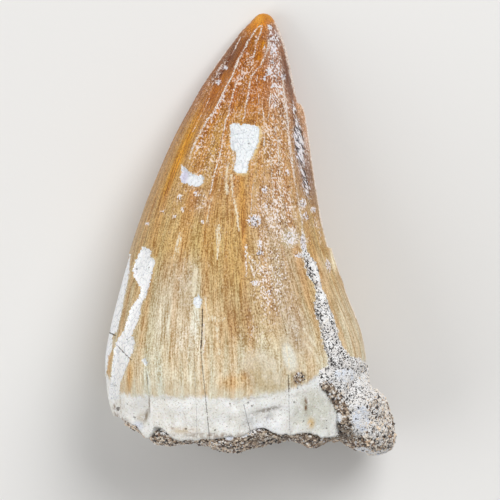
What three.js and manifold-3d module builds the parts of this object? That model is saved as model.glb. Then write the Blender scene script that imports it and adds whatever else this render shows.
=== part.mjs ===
// A fossil mosasaur tooth lying on its side, with the sandy rock that still clings to its broken base.
// Millimetres, +Z up. The tip points to +Y, the better face looks up, and the tooth lies on a worn flat
// spot under its base and on the back of its tip. The crown is a skin worked out from its two side
// outlines and its side profile. Flakes of lost enamel, a crack filled with rock and a broken corner are
// cut out of that skin, and the rock is built to fill what is missing.
import * as THREE from "three";
import { mergeVertices } from "three/addons/utils/BufferGeometryUtils.js";
import Module from "manifold-3d";

// ---------------------------------------------------------------- driving dimensions, millimetres
const TIP_Y = 21; // half of the 42 mm overall length, with the origin under the middle
const LAST_DEPTH = 39.5; // depth below the tip at which the tooth itself ends, on average
const FIT_GAP = 0.2; // clearance between the tooth and the rock, all round
const ENAMEL = 0.3; // thickness of the flakes that have come off
const RIM_WEAR = 0.15; // how far the chalky left edge lies below the enamel
const SEAM_CUT = 0.9; // depth of the open crack that the rock fills
const CORNER_CUT = 2.2; // how far the corner of the base is broken away
const DISH_Y = -17.2; // deepest point of the hollow in the broken base
const ROWS = 34;
const FRONT_COLUMNS = 36;
const BACK_COLUMNS = 20;

// Side outlines seen from above: [depth below the tip, x].
const LEFT_EDGE = [
  [0, 1.15], [0.4, 0.45], [1.15, -0.3], [3.4, -2.2], [7.95, -5.15], [14, -8.2], [20.05, -10.65],
  [26.1, -12.4], [31.8, -13.65], [33.9, -13.8], [36, -13.6], [38.2, -12.95], [40.5, -12.2],
];
const RIGHT_EDGE = [
  [0, 1.15], [0.4, 1.9], [1.15, 2.35], [3.4, 3.3], [6.45, 4], [12.5, 5.1], [17.05, 5.85],
  [21.55, 6.8], [26.1, 8.5], [30.65, 10.4], [33.85, 11], [37.65, 10.5], [40.5, 9.8],
];
// Side profile: [depth below the tip, height above the table].
const TOP_LINE = [
  [0, 1.15], [0.4, 1.95], [1.15, 2.65], [3.4, 4.3], [6.5, 6.3], [10, 8.4], [14, 10.6], [20, 13.3],
  [26, 15.4], [32, 16.8], [36, 17.07], [40.5, 16.2],
];
const KEEL_LINE = [
  [0, 1.15], [1.15, 1.35], [3.4, 1.9], [6.5, 2.8], [10, 3.8], [14, 4.9], [20, 6.2], [26, 7.3],
  [32, 8], [36, 8.1], [40.5, 8.1],
];
const BACK_LINE = [
  [0, 1.15], [0.4, 0.35], [1.15, 0], [3.4, -0.05], [6.5, 0.25], [10, 0.55], [14, 0.75], [20, 0.6],
  [26, 0.2], [32, -0.22], [36, -0.15], [40.5, 0.9],
];
// Power of the sine that shapes the section: above 1 it is a lens with two keels, at 1 an ellipse.
const FRONT_POWER = [[0, 1], [2, 1.2], [10, 1.15], [20, 1], [40.5, 0.92]];
const BACK_POWER = [[0, 1], [2, 1.15], [10, 1.1], [20, 0.98], [40.5, 0.9]];
// The cutting edge stands proud along the right side, and is chipped off above its first depth.
const CUTTING_EDGE = [[8.6, 0.5], [22.1, 0.28]];
const LOWER_EDGE = [[22.2, 0.48], [33, 0]];
const EDGE_SPREAD = 0.28; // radians of the section that the cutting edge takes
const UNEVEN = { height: 0.12, size: 9 }; // the crown's slow swells
const HOLLOW_UNEVEN = { height: 0.25, size: 3.1 }; // and those of the hollow in its base

// Lower rim of the tooth, front and back: [x, y].
const FRONT_RIM = [
  [-13, -17.2], [-12, -17.5], [-10.9, -18.25], [-10.1, -19], [-9.2, -18.3], [-7, -19.2], [-3.9, -19.25],
  [-1, -19], [0.9, -18.3], [3, -18.9], [5.5, -18.8], [8, -19.2], [10.5, -18.9],
];
const BACK_RIM = [
  [-13, -17.2], [-10.5, -18.4], [-8, -18.1], [-4.5, -19.1], [-1, -18.5], [3, -19.1], [6.5, -18.5],
  [10.5, -18.9],
];

// Ridges on the upper face: polylines [x, y], with their height and width.
const RIDGES = [
  { height: 0.3, width: 0.42, line: [[1.1, 20], [-0.95, 17], [-3.05, 12.45], [-4.8, 9.7], [-5.85, 7.1]] },
  { height: 0.2, width: 0.32, line: [[1, 19], [-0.4, 15.9], [-1.8, 13.35], [-2.4, 10.6]] },
  { height: 0.2, width: 0.32, line: [[1.5, 18.2], [0.65, 16], [-0.3, 14.1], [-0.75, 10.7]] },
  { height: 0.22, width: 0.4, line: [[2.6, 16.5], [3.35, 11.8], [3.9, 6.7], [5, -0.45]] },
];
// A hollow runs beside the cutting edge.
const FLUTE = { height: -0.35, width: 0.75, line: [[4.1, 11.5], [4.7, 6.5], [5.7, 0.8]] };

// Flakes of lost enamel on the upper face, outlines [x, y].
const FLAKES = [
  [[-2, 10.45], [0, 10.35], [0.8, 9.85], [0.85, 9.05], [0.6, 8.05], [-0.25, 6.65], [-0.35, 5.75],
    [-1.3, 5.75], [-1.65, 6], [-1.4, 7.8], [-1.95, 8.05]],
  [[-6.45, 6.4], [-5.65, 5.7], [-4.9, 5.5], [-4.45, 5.15], [-4.8, 4.65], [-5.55, 4.55], [-6.3, 4.75],
    [-6.7, 5.4]],
  [[-10.2, -1.15], [-9.35, -1.45], [-9.5, -2.25], [-9, -2.4], [-9.5, -4.75], [-10.35, -6.7],
    [-10.75, -8.55], [-11.2, -9.55], [-10.9, -10.2], [-11.55, -11.9], [-12.5, -15.05], [-13.05, -13.65],
    [-12.75, -10.2], [-11.55, -7.9], [-10.55, -5.95], [-10.45, -4.45], [-11.2, -3.35]],
  [[-4.9, -5.65], [-4.6, -6.3], [-4.8, -7.05], [-5.2, -7], [-5.45, -6.55]],
];
// The left edge has lost its enamel between these heights, as far in as this line reaches.
const WORN_RIM = [
  [-16, -1.9], [-11.2, -1.9], [-12.2, -5.1], [-12.95, -8.15], [-13.35, -10.8], [-13.5, -13.3], [-16, -13.3],
];

// The crack that the rock fills, from its upper end down to the broken corner: [x, y] of each side.
const SEAM_LEFT = [
  [5.35, -2.1], [5.2, -3.55], [5.8, -4.65], [6.15, -5.7], [5.8, -7.3], [6.4, -8.35], [6.65, -9.55],
  [6.75, -10.8], [7.35, -11.65], [7.25, -12.45],
];
const SEAM_RIGHT = [
  [5.75, -2.1], [6.4, -3.55], [6.65, -5], [7.1, -6.2], [7.75, -7.9], [8.2, -9.8], [9.05, -11.15],
  [9.4, -11.65], [9.6, -12.45],
];
// The broken corner: its edge against the tooth, and a far side well clear of the tooth.
const CORNER_LEFT = [
  [7.35, -11.65], [7.25, -12.45], [6.5, -12.85], [6.4, -14.3], [7, -14.85], [7.55, -15.7],
  [8.2, -16.85], [8.3, -18.15], [8, -19.2], [8, -24],
];
const CORNER_RIGHT = [
  [9.4, -11.65], [10.15, -11.75], [10.85, -12.45], [11.1, -12.95], [16, -12.95], [16, -24],
];
// The lump of rock at the corner, seen from above, anticlockwise.
const LUMP_OUTLINE = [
  [10.2, -11.7], [8.8, -11.6], [7.4, -12.5], [6.4, -14.6], [6.2, -17], [6.6, -19], [7.95, -19.65],
  [9.35, -20.15], [10.8, -20.6], [12.2, -21], [13.35, -20.45], [13.8, -19.5], [13.6, -18.5],
  [13.15, -16.85], [12.85, -15.6], [12.3, -14.9], [11.45, -14.2], [11.05, -12.95],
];
const LUMP_CENTRE = new THREE.Vector3(9, -16.4, 7.4);
const LUMP_TOP = 13.2;
const LUMP_UNDERSIDE = 2.3;
const LUMP_SWAY = 1.6; // how far its widest line wanders up and down
const LUMP_KNOBS = { height: 0.45, size: 3.8 };
// Lower outline of the crust of rock under the base: [x, y].
const CRUST_LOW = [
  [-12, -17.9], [-10.5, -18.9], [-9.7, -19.6], [-9, -20.05], [-7.6, -19.8], [-5.2, -19.85], [-3.7, -20.25],
  [-1.8, -20.65], [0.1, -20.25], [1.6, -19.85], [3.1, -19.4], [5.6, -20.05], [7.2, -19.6], [10, -19.9],
];
const CRUST_SHARE = 0.93; // how much of the base's section the crust covers
const CRUST_TOP_Y = DISH_Y + 1.5; // upper end of its plug, which the hollow of the base trims
const CRUST_UNEVEN = { height: 0.3, size: 5.2 };

const COLOURS = { tooth: 0xcba673, matrix: 0xb9b0a6 };

// ---------------------------------------------------------------- small mathematics

// A smooth curve through [key, value] points, as a function of the key. `warp` bends the key first.
function smooth(points, warp = (k) => k) {
  const keys = points.map((p) => warp(p[0]));
  const values = points.map((p) => p[1]);
  const slope = (i) => {
    const a = Math.max(i - 1, 0);
    const b = Math.min(i + 1, keys.length - 1);
    return (values[b] - values[a]) / (keys[b] - keys[a]);
  };
  return (key) => {
    const k = THREE.MathUtils.clamp(warp(key), keys[0], keys[keys.length - 1]);
    let i = keys.findIndex((x) => x >= k) - 1;
    i = Math.max(i, 0);
    const span = keys[i + 1] - keys[i];
    const t = (k - keys[i]) / span;
    const rise = values[i + 1] - values[i];
    const from = slope(i) * span;
    const to = slope(i + 1) * span;
    return values[i] + t * (from + t * (3 * rise - 2 * from - to + t * (from + to - 2 * rise)));
  };
}

// Straight runs between [key, value] points, held at both ends.
function straight(points) {
  return (key) => {
    const i = points.findIndex((p) => p[0] >= key);
    if (i <= 0) return points[i === 0 ? 0 : points.length - 1][1];
    const [[ka, va], [kb, vb]] = [points[i - 1], points[i]];
    return va + ((key - ka) / (kb - ka)) * (vb - va);
  };
}

// Distance from (x, y) to a polyline.
function distanceTo(line, x, y) {
  let best = Infinity;
  for (let i = 1; i < line.length; i++) {
    const [ax, ay] = line[i - 1];
    const [dx, dy] = [line[i][0] - ax, line[i][1] - ay];
    const t = THREE.MathUtils.clamp(((x - ax) * dx + (y - ay) * dy) / (dx * dx + dy * dy), 0, 1);
    best = Math.min(best, Math.hypot(x - ax - t * dx, y - ay - t * dy));
  }
  return best;
}

// Smooth random-looking waves between -1 and 1, about `size` millimetres from crest to crest.
function waves(p, size) {
  const k = (2 * Math.PI) / size;
  return (
    (Math.sin(k * (0.9 * p.x + 0.5 * p.y + 0.2 * p.z) + 1.3) +
      Math.sin(k * (-0.4 * p.x + 0.8 * p.y + 0.6 * p.z) + 4.1) +
      Math.sin(k * (0.3 * p.x - 0.5 * p.y + 0.9 * p.z) + 2.6)) / 3
  );
}

// ---------------------------------------------------------------- solids

const wasm = await Module();
wasm.setup();

// A closed three.js geometry as a solid.
function solidOf(geometry) {
  const bare = new THREE.BufferGeometry().setAttribute("position", geometry.getAttribute("position"));
  if (geometry.index) bare.setIndex(geometry.index);
  const merged = mergeVertices(bare, 1e-4);
  return new wasm.Manifold(
    new wasm.Mesh({
      numProp: 3,
      vertProperties: merged.attributes.position.array,
      triVerts: new Uint32Array(merged.index.array),
    }),
  );
}

// A solid as a three.js geometry.
function geometryOf(solid) {
  const { vertProperties, triVerts } = solid.getMesh();
  const geometry = new THREE.BufferGeometry()
    .setAttribute("position", new THREE.BufferAttribute(vertProperties, 3))
    .setIndex(new THREE.BufferAttribute(triVerts, 1));
  geometry.computeVertexNormals();
  return geometry;
}

// A closed skin from rings of points: neighbouring rings are joined by quads, and each end closes to a
// point. The rings run so that each goes anticlockwise when it is looked at from the first ring's end.
function skinOfRings(first, rings, last) {
  const columns = rings[0].length;
  const points = [first, ...rings.flat(), last];
  const at = (ring, column) => 1 + ring * columns + (column % columns);
  const faces = [];
  for (let c = 0; c < columns; c++) {
    faces.push(0, at(0, c), at(0, c + 1));
    for (let r = 1; r < rings.length; r++) {
      faces.push(at(r - 1, c), at(r, c), at(r, c + 1), at(r - 1, c), at(r, c + 1), at(r - 1, c + 1));
    }
    faces.push(points.length - 1, at(rings.length - 1, c + 1), at(rings.length - 1, c));
  }
  return new THREE.BufferGeometry().setFromPoints(points).setIndex(faces);
}

// An upright prism over the outline [x, y], between two heights.
function prism(outline, low, high) {
  const shape = new THREE.Shape(outline.map(([x, y]) => new THREE.Vector2(x, y)));
  const geometry = new THREE.ExtrudeGeometry(shape, { depth: high - low, bevelEnabled: false });
  return solidOf(geometry.translate(0, 0, low));
}

// ---------------------------------------------------------------- the tooth

const fromTip = (depth) => Math.sqrt(Math.max(depth, 0)); // spreads out the round tip
const leftEdge = smooth(LEFT_EDGE, fromTip);
const rightEdge = smooth(RIGHT_EDGE, fromTip);
const topLine = smooth(TOP_LINE, fromTip);
const keelLine = smooth(KEEL_LINE, fromTip);
const backLine = smooth(BACK_LINE, fromTip);
const frontPower = smooth(FRONT_POWER);
const backPower = smooth(BACK_POWER);
const frontRim = smooth(FRONT_RIM);
const backRim = smooth(BACK_RIM);

// How far the cutting edge stands out of the right side.
function cuttingEdge(depth) {
  if (depth < CUTTING_EDGE[0][0]) return 0;
  return depth <= CUTTING_EDGE[1][0] ? straight(CUTTING_EDGE)(depth) : straight(LOWER_EDGE)(depth);
}

// Height of the relief at a point of the upper face: its ridges and the flute.
function relief(x, y) {
  let height = 0;
  for (const { height: crest, width, line } of [...RIDGES, FLUTE]) {
    height += crest * Math.exp(-((distanceTo(line, x, y) / width) ** 2));
  }
  return height;
}

// A point of the tooth's skin. `angle` goes round the section from the right edge over the upper face,
// and `grow` moves the skin outwards.
function skin(depth, angle, grow = 0) {
  const [left, right] = [leftEdge(depth), rightEdge(depth)];
  const [keel, upper] = [keelLine(depth), Math.sin(angle) >= 0];
  const rise = (upper ? topLine(depth) - keel : keel - backLine(depth)) + grow;
  const power = upper ? frontPower(depth) : backPower(depth);
  const half = (right - left) / 2 + grow;
  const turn = Math.atan2(Math.sin(angle), Math.cos(angle)); // from the right edge, between -pi and pi
  const flange = cuttingEdge(depth) * Math.exp(-((turn / EDGE_SPREAD) ** 2));
  const x = (left + right) / 2 + half * Math.cos(angle) + flange;
  const y = TIP_Y - depth;
  const steep = Math.abs(Math.sin(angle));
  const side = upper ? 1 : -1;
  const p = new THREE.Vector3(x, y, keel + side * rise * steep ** power);
  if (upper) p.z += relief(x, y) * steep;
  p.z += side * UNEVEN.height * waves(p, UNEVEN.size) * steep * Math.min(depth / 8, 1);
  return p;
}

// Depth at which the tooth ends in the direction `angle`, at its ragged lower rim.
function rimDepth(angle) {
  const x = skin(LAST_DEPTH - 1.5, angle).x;
  return TIP_Y - (Math.sin(angle) >= 0 ? frontRim(x) : backRim(x));
}

// Directions round the section, closer together over the upper face.
const angles = [
  ...Array.from({ length: BACK_COLUMNS }, (_, i) => (-Math.PI * i) / BACK_COLUMNS),
  ...Array.from({ length: FRONT_COLUMNS }, (_, i) => -Math.PI * (1 + i / FRONT_COLUMNS)),
];

// The skin as a closed body, grown by `grow`, with the hollow of the broken base at its lower end.
function toothBody(grow = 0) {
  const steps = [CUTTING_EDGE[0][0], LOWER_EDGE[0][0]].flatMap((d) => [d - 0.06, d + 0.04]);
  const depths = Array.from({ length: ROWS }, (_, i) => LAST_DEPTH * ((i + 1) / ROWS) ** 1.5);
  const rings = [...depths, ...steps].sort((a, b) => a - b).map((nominal) =>
    angles.map((angle) => {
      const low = THREE.MathUtils.smoothstep(nominal, 30, LAST_DEPTH);
      return skin(nominal + low * (rimDepth(angle) + grow - LAST_DEPTH), angle, grow);
    }),
  );
  const rim = rings[rings.length - 1];
  const centre = new THREE.Vector3(-1.4, DISH_Y - grow, 8.3);
  for (const share of [0.9, 0.7, 0.4]) {
    rings.push(
      rim.map((p) => {
        const q = p.clone().lerp(centre, 1 - share);
        q.y = THREE.MathUtils.lerp(centre.y, p.y, share ** 2);
        q.y += HOLLOW_UNEVEN.height * waves(q, HOLLOW_UNEVEN.size);
        return q;
      }),
    );
  }
  const tip = skin(0, 0).add(new THREE.Vector3(0, grow, 0));
  return solidOf(skinOfRings(tip, rings, centre));
}

// The outline of a filled crack or corner, drawn in by `gap` on both sides.
const filled = (left, right, gap) => [
  ...left.map(([x, y]) => [x + gap, y]),
  ...right.map(([x, y]) => [x - gap, y]).reverse(),
];
// The seam opens the upper face only. The corner is missing through the whole thickness.
const seam = (gap) => prism(filled(SEAM_LEFT, SEAM_RIGHT, gap), 9, 22);
const corner = (gap) => prism(filled(CORNER_LEFT, CORNER_RIGHT, gap), -3, 22);

// The tooth with its crack and corner open, grown by `grow` all over.
function openTooth(grow = 0) {
  return toothBody(grow)
    .subtract(seam(grow).subtract(toothBody(grow - SEAM_CUT)))
    .subtract(corner(grow).subtract(toothBody(grow - CORNER_CUT)));
}

const table = solidOf(new THREE.BoxGeometry(60, 60, 10).translate(0, 0, -5));

function makeTooth() {
  let tooth = openTooth();
  const underEnamel = toothBody(-ENAMEL);
  for (const outline of FLAKES) {
    tooth = tooth.subtract(prism(outline, 7, 22).subtract(underEnamel));
  }
  tooth = tooth.subtract(prism(WORN_RIM, -3, 22).subtract(toothBody(-RIM_WEAR)));
  return tooth.subtract(table);
}

// ---------------------------------------------------------------- the rock

const crustLow = smooth(CRUST_LOW);

// The crust under the base: a plug inside the hollow, ending below in a lumpy outline.
function crustBody() {
  const centre = new THREE.Vector3(-1.2, 0, 8.2);
  const rim = angles.map((angle) => {
    const p = skin(rimDepth(angle), angle);
    return p.lerp(centre.clone().setY(p.y), 1 - CRUST_SHARE);
  });
  const ring = (share, place) =>
    rim.map((p) => {
      const q = p.clone().lerp(centre.clone().setY(p.y), 1 - share);
      return q.setY(place(q, p));
    });
  const bottom = (share) =>
    ring(share, (q, p) => {
      const fall = Math.sqrt(1 - share ** 4);
      const swell = CRUST_UNEVEN.height * waves(q, CRUST_UNEVEN.size);
      return THREE.MathUtils.lerp(p.y - 0.1, crustLow(q.x), fall) + swell * fall;
    });
  const inside = (share) => ring(share, () => CRUST_TOP_Y);
  const rings = [inside(0.5), inside(0.98), ring(1, (q, p) => p.y - 0.05)];
  for (const share of [0.94, 0.85, 0.7, 0.5, 0.25]) rings.push(bottom(share));
  return solidOf(
    skinOfRings(
      centre.clone().setY(CRUST_TOP_Y),
      rings,
      centre.clone().setY(crustLow(centre.x)),
    ),
  );
}

// The lump at the corner: a knobbly dome above its widest line and another below it.
function lumpBody() {
  const brow = LUMP_OUTLINE.map(([x, y]) => new THREE.Vector3(x, y, LUMP_CENTRE.z));
  for (const p of brow) p.z += LUMP_SWAY * waves(p, 9);
  const rim = new THREE.CatmullRomCurve3(brow, true).getSpacedPoints(40).slice(0, -1);
  const ring = (share, height) =>
    rim.map((p) => {
      const q = p.clone().lerp(LUMP_CENTRE, 1 - share);
      const knobs = LUMP_KNOBS.height * waves(q, LUMP_KNOBS.size) * (1 - share ** 6);
      q.z += (height - LUMP_CENTRE.z) * (1 - share ** 2.4) ** 0.6;
      return q.addScaledVector(q.clone().sub(LUMP_CENTRE).normalize(), knobs);
    });
  const shares = [0.25, 0.5, 0.7, 0.84, 0.94];
  const rings = [
    ...shares.map((s) => ring(s, LUMP_TOP)),
    rim,
    ...shares.toReversed().map((s) => ring(s, LUMP_UNDERSIDE)),
  ];
  const end = (height) => LUMP_CENTRE.clone().setZ(height);
  return solidOf(skinOfRings(end(LUMP_TOP), rings, end(LUMP_UNDERSIDE)));
}

function makeMatrix() {
  const fill = toothBody(0.1)
    .intersect(seam(FIT_GAP))
    .add(toothBody(-0.1).intersect(corner(FIT_GAP)));
  const rock = fill.add(lumpBody()).add(crustBody()).subtract(openTooth(FIT_GAP)).subtract(table);
  const pieces = rock.decompose();
  return pieces.sort((a, b) => b.volume() - a.volume())[0]; // loose crumbs of the cuts are dropped
}

// ---------------------------------------------------------------- the part

function node(name, solid, colour) {
  const material = new THREE.MeshStandardMaterial({ color: colour, roughness: 0.6, metalness: 0 });
  const mesh = new THREE.Mesh(geometryOf(solid), material);
  mesh.name = name;
  return mesh;
}

const fossil = new THREE.Group();
fossil.add(node("tooth", makeTooth(), COLOURS.tooth));
fossil.add(node("matrix", makeMatrix(), COLOURS.matrix));

export default fossil;
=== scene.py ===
"""A fossil mosasaur tooth on its side, with the sandy rock that still clings to it, as procedural surfaces."""

import functools
import itertools

import bmesh
import bpy
import numpy as np
from bpy.props import FloatProperty, FloatVectorProperty, IntProperty, PointerProperty
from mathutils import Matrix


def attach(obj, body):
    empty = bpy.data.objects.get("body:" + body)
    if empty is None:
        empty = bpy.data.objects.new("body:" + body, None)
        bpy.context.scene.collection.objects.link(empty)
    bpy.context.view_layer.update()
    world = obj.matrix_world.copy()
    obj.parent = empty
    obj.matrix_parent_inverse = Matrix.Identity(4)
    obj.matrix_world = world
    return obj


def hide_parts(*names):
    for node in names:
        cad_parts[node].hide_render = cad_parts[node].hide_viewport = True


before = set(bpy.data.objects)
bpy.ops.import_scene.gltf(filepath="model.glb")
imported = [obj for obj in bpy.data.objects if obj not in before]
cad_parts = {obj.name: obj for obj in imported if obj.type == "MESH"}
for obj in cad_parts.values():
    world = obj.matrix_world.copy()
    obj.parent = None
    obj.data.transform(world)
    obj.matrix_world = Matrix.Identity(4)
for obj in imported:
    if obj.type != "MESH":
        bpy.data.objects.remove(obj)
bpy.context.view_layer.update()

bl_info = {
    "name": "Fossil tooth in its rock",
    "version": (1, 0, 0),
    "blender": (4, 5, 0),
    "location": "3D View > Sidebar > Fossil",
    "description": "Builds a fossil tooth, the rock stuck to it and a plain stage around the CAD solids",
    "category": "Add Mesh",
}

MM = 0.001  # every size below is in millimetres unless it says otherwise
FAR = 9.0  # a distance that is out of reach of every marking

# ------------------------------------------------------------------ the tooth's shape

TIP = (1.15, 21.0, 1.15)
TIP_Y = TIP[1]
LAST_DEPTH = 39.5  # depth below the tip at which the tooth ends, on average
LEVEL_DEPTH = 30  # rows of points lie level down to this depth, and below it they bend to meet the ragged rim
ROW_CROWDING = 1.15  # above 1, rows lie closer together towards the tip
HOLLOW_CENTRE = (-1.4, -17.2, 8.3)  # deepest point of the hollow in the broken base
HOLLOW_DEPTH = 8  # how much further the depth counts, from the rim to that point
# Rings of points in the hollow: shares of the way from its centre to the rim.
HOLLOW_RINGS = (0.985, 0.965, 0.94, 0.915, 0.89, 0.85, 0.78, 0.66, 0.5, 0.34, 0.17)

# Side outlines seen from above: (depth below the tip, x).
LEFT_EDGE = [
    (0, 1.15), (0.28, 0.5), (0.57, 0.2), (0.85, -0.07), (1.7, -0.92), (3.4, -2.22), (7.95, -5.2), (14, -8.32),
    (20.05, -10.65), (26.1, -12.45), (31.8, -13.8), (33.9, -13.92), (36, -13.72), (38.2, -13.2), (40.5, -12.4),
]  # fmt: skip
RIGHT_EDGE = [
    (0, 1.15), (0.28, 1.86), (0.57, 2.1), (1.13, 2.47), (2.84, 3.13), (3.97, 3.48), (6.45, 4), (12.5, 5.1),
    (17.05, 5.85), (21.55, 6.8), (26.1, 8.5), (30.65, 10.4), (33.85, 11), (37.65, 10.5), (40.5, 9.8),
]  # fmt: skip
# Side profile: (depth below the tip, height above the table).
TOP_LINE = [
    (0, 1.15), (0.4, 1.95), (1.15, 2.65), (3.4, 4.3), (6.5, 6.3), (10, 8.4), (14, 10.6), (20, 13.3),
    (26, 15.4), (32, 16.8), (36, 17.07), (40.5, 16.2),
]  # fmt: skip
KEEL_LINE = [
    (0, 1.15), (1.15, 1.35), (3.4, 1.9), (6.5, 2.8), (10, 3.8), (14, 4.9), (20, 6.2), (26, 7.3),
    (32, 8), (36, 8.1), (40.5, 8.1),
]  # fmt: skip
BACK_LINE = [
    (0, 1.15), (0.4, 0.35), (1.15, 0), (3.4, -0.05), (6.5, 0.25), (10, 0.55), (14, 0.75), (20, 0.6),
    (26, 0.2), (32, -0.22), (36, -0.15), (40.5, 0.9),
]  # fmt: skip
# Power of the sine that shapes the section: above 1 it is a lens with two keels, at 1 an ellipse.
FRONT_POWER = [(0, 1), (2, 1.2), (10, 1.15), (20, 1), (40.5, 0.92)]
BACK_POWER = [(0, 1), (2, 1.15), (10, 1.1), (20, 0.98), (40.5, 0.9)]
# How far the cutting edge stands out of the right side, which is chipped at two depths.
CUTTING_EDGE = [(8.55, 0), (8.6, 0.25), (9.0, 0.45), (9.6, 0.52), (22.2, 0.28), (22.3, 0.6), (33, 0)]
EDGE_SPREAD = 0.28  # radians of the section that the cutting edge takes
UNEVEN_HEIGHT, UNEVEN_SIZE = 0.12, 9.0  # slow swells of the whole crown

# Lower rim of the tooth, upper face and underside: (x, y).
FRONT_RIM = [
    (-13, -17.2), (-12, -17.75), (-11.1, -18.5), (-10.6, -19.2), (-10, -18.9), (-9.4, -18.2), (-8.6, -18.55),
    (-7.7, -19.35), (-6, -19.4), (-3.9, -19.25),
    (-1, -19), (0.9, -18.3), (3, -18.9), (5.5, -18.8), (8, -19.2), (10.5, -18.9),
]  # fmt: skip
BACK_RIM = [
    (-13, -17.2), (-10.5, -18.4), (-8, -18.1), (-4.5, -19.1), (-1, -18.5), (3, -19.1), (6.5, -18.5),
    (10.5, -18.9),
]  # fmt: skip
# Where the enamel ends and the cement of the root begins: (x, y).
FRONT_BAND = [
    (-13.6, -13.4), (-13.1, -14), (-12.35, -15), (-9.6, -15.3), (-5.15, -15.4), (-0.85, -15.5), (2.05, -15.05),
    (3.45, -14.55), (5.1, -14.1), (6.55, -13.1), (8, -12.4), (11, -12),
]  # fmt: skip
BACK_BAND = [(-13.6, -13.4), (-11, -14.6), (-6, -14.2), (0, -15.1), (6, -14.3), (11, -12)]

# Ridges and the flute of the upper face, as they stand in the solid: height, width, line (x, y).
RIDGES = [
    (0.3, 0.42, [(1.1, 20), (-0.95, 17), (-3.05, 12.45), (-4.8, 9.7), (-5.85, 7.1)]),
    (0.2, 0.32, [(1, 19), (-0.4, 15.9), (-1.8, 13.35), (-2.4, 10.6)]),
    (0.2, 0.32, [(1.5, 18.2), (0.65, 16), (-0.3, 14.1), (-0.75, 10.7)]),
    (0.22, 0.4, [(2.6, 16.5), (3.35, 11.8), (3.9, 6.7), (5, -0.45)]),
    (-0.35, 0.75, [(4.1, 11.5), (4.7, 6.5), (5.7, 0.8)]),
]
# Worn, pale crests: width in millimetres, and the ridge's line followed closely.
PALE_CRESTS = [
    (0.07, [(1.14, 19.87), (0.66, 19.63), (0.38, 19.3), (0, 18.73)]),
    (0.07, [(0, 18.73), (-0.24, 18.35)]),
    (0.09, [(-0.24, 18.35), (-0.85, 17.2), (-1.23, 16.46), (-1.8, 15.04), (-2.74, 13.15), (-3.7, 11.35)]),
    (0.1, [(-3.7, 11.35), (-4.8, 9.7), (-5.45, 8.2), (-5.85, 7.1)]),
    (0.07, [(1.14, 19.87), (0.9, 19.2), (0.7, 18.7), (0.5, 18.0), (0.38, 17.4), (0.2, 16.7)]),
    (0.05, [(-0.95, 18.7), (-1.42, 17.8), (-1.9, 16.9)]),
    (0.07, [(-1.0, 14.75), (-1.32, 14.4), (-1.7, 13.4), (-1.9, 12.7), (-2.13, 11.3), (-2.4, 10.6)]),
    (0.08, [(1.61, 18.4), (1.61, 17.8), (1.42, 17.2), (1.2, 16.7), (0.9, 15.9), (0.28, 15.3), (0, 14.95)]),
    (0.07, [(0, 14.95), (-0.1, 14.4), (-0.28, 13.2), (-0.5, 12.2), (-0.59, 11.26), (-0.75, 10.7)]),
    (0.04, [(0.57, 15.1), (0.61, 14), (0.71, 12.7), (0.76, 11.3)]),
    (0.04, [(1.9, 13.4), (1.75, 12.2), (1.6, 10.8)]),
    (0.07, [(3.0, 14.6), (3.35, 11.8), (3.55, 9.55), (3.6, 8.2), (3.88, 6.7), (4.15, 5.1), (4.45, 3.4)]),
    (0.09, [(4.45, 3.4), (4.75, 1.4), (4.95, 0), (5.05, -0.8)]),
    (0.05, [(3.5, 10.4), (3.75, 8.3), (4.2, 5.2), (4.55, 2.5)]),
    (0.03, [(-3.9, 13.0), (-4.5, 11.7), (-5.6, 9.6)]),
    (0.05, [(-2.4, 10.6), (-2.65, 9.3), (-2.9, 7.6), (-3.6, 4.9), (-3.9, 3.6)]),
    (0.05, [(-1.7, 6.3), (-1.6, 8.2), (-1.9, 9.8)]),
    (0.04, [(0.2, 5.3), (0.05, 3.4), (-0.05, 1.6)]),
    (0.05, [(1.0, 12.6), (1.3, 10.4), (1.2, 8.0)]),
    (0.04, [(2.1, 11.4), (2.5, 8.6), (2.75, 5.6)]),
    (0.04, [(1.9, 7.0), (2.05, 4.4), (2.2, 2.6)]),
    (0.11, [(-0.5, -1.5), (-0.1, -2.2), (0.35, -2.7), (1.1, -3.5)]),
    (0.11, [(-0.47, -1.1), (-0.45, -2.4), (-0.47, -3.9)]),
    (0.08, [(-0.3, -2.4), (0.1, -3.1), (0.3, -4.1)]),
    (0.1, [(-4.4, -8.3), (-4.4, -9.8), (-4.5, -11.2)]),
]  # fmt: skip
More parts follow.
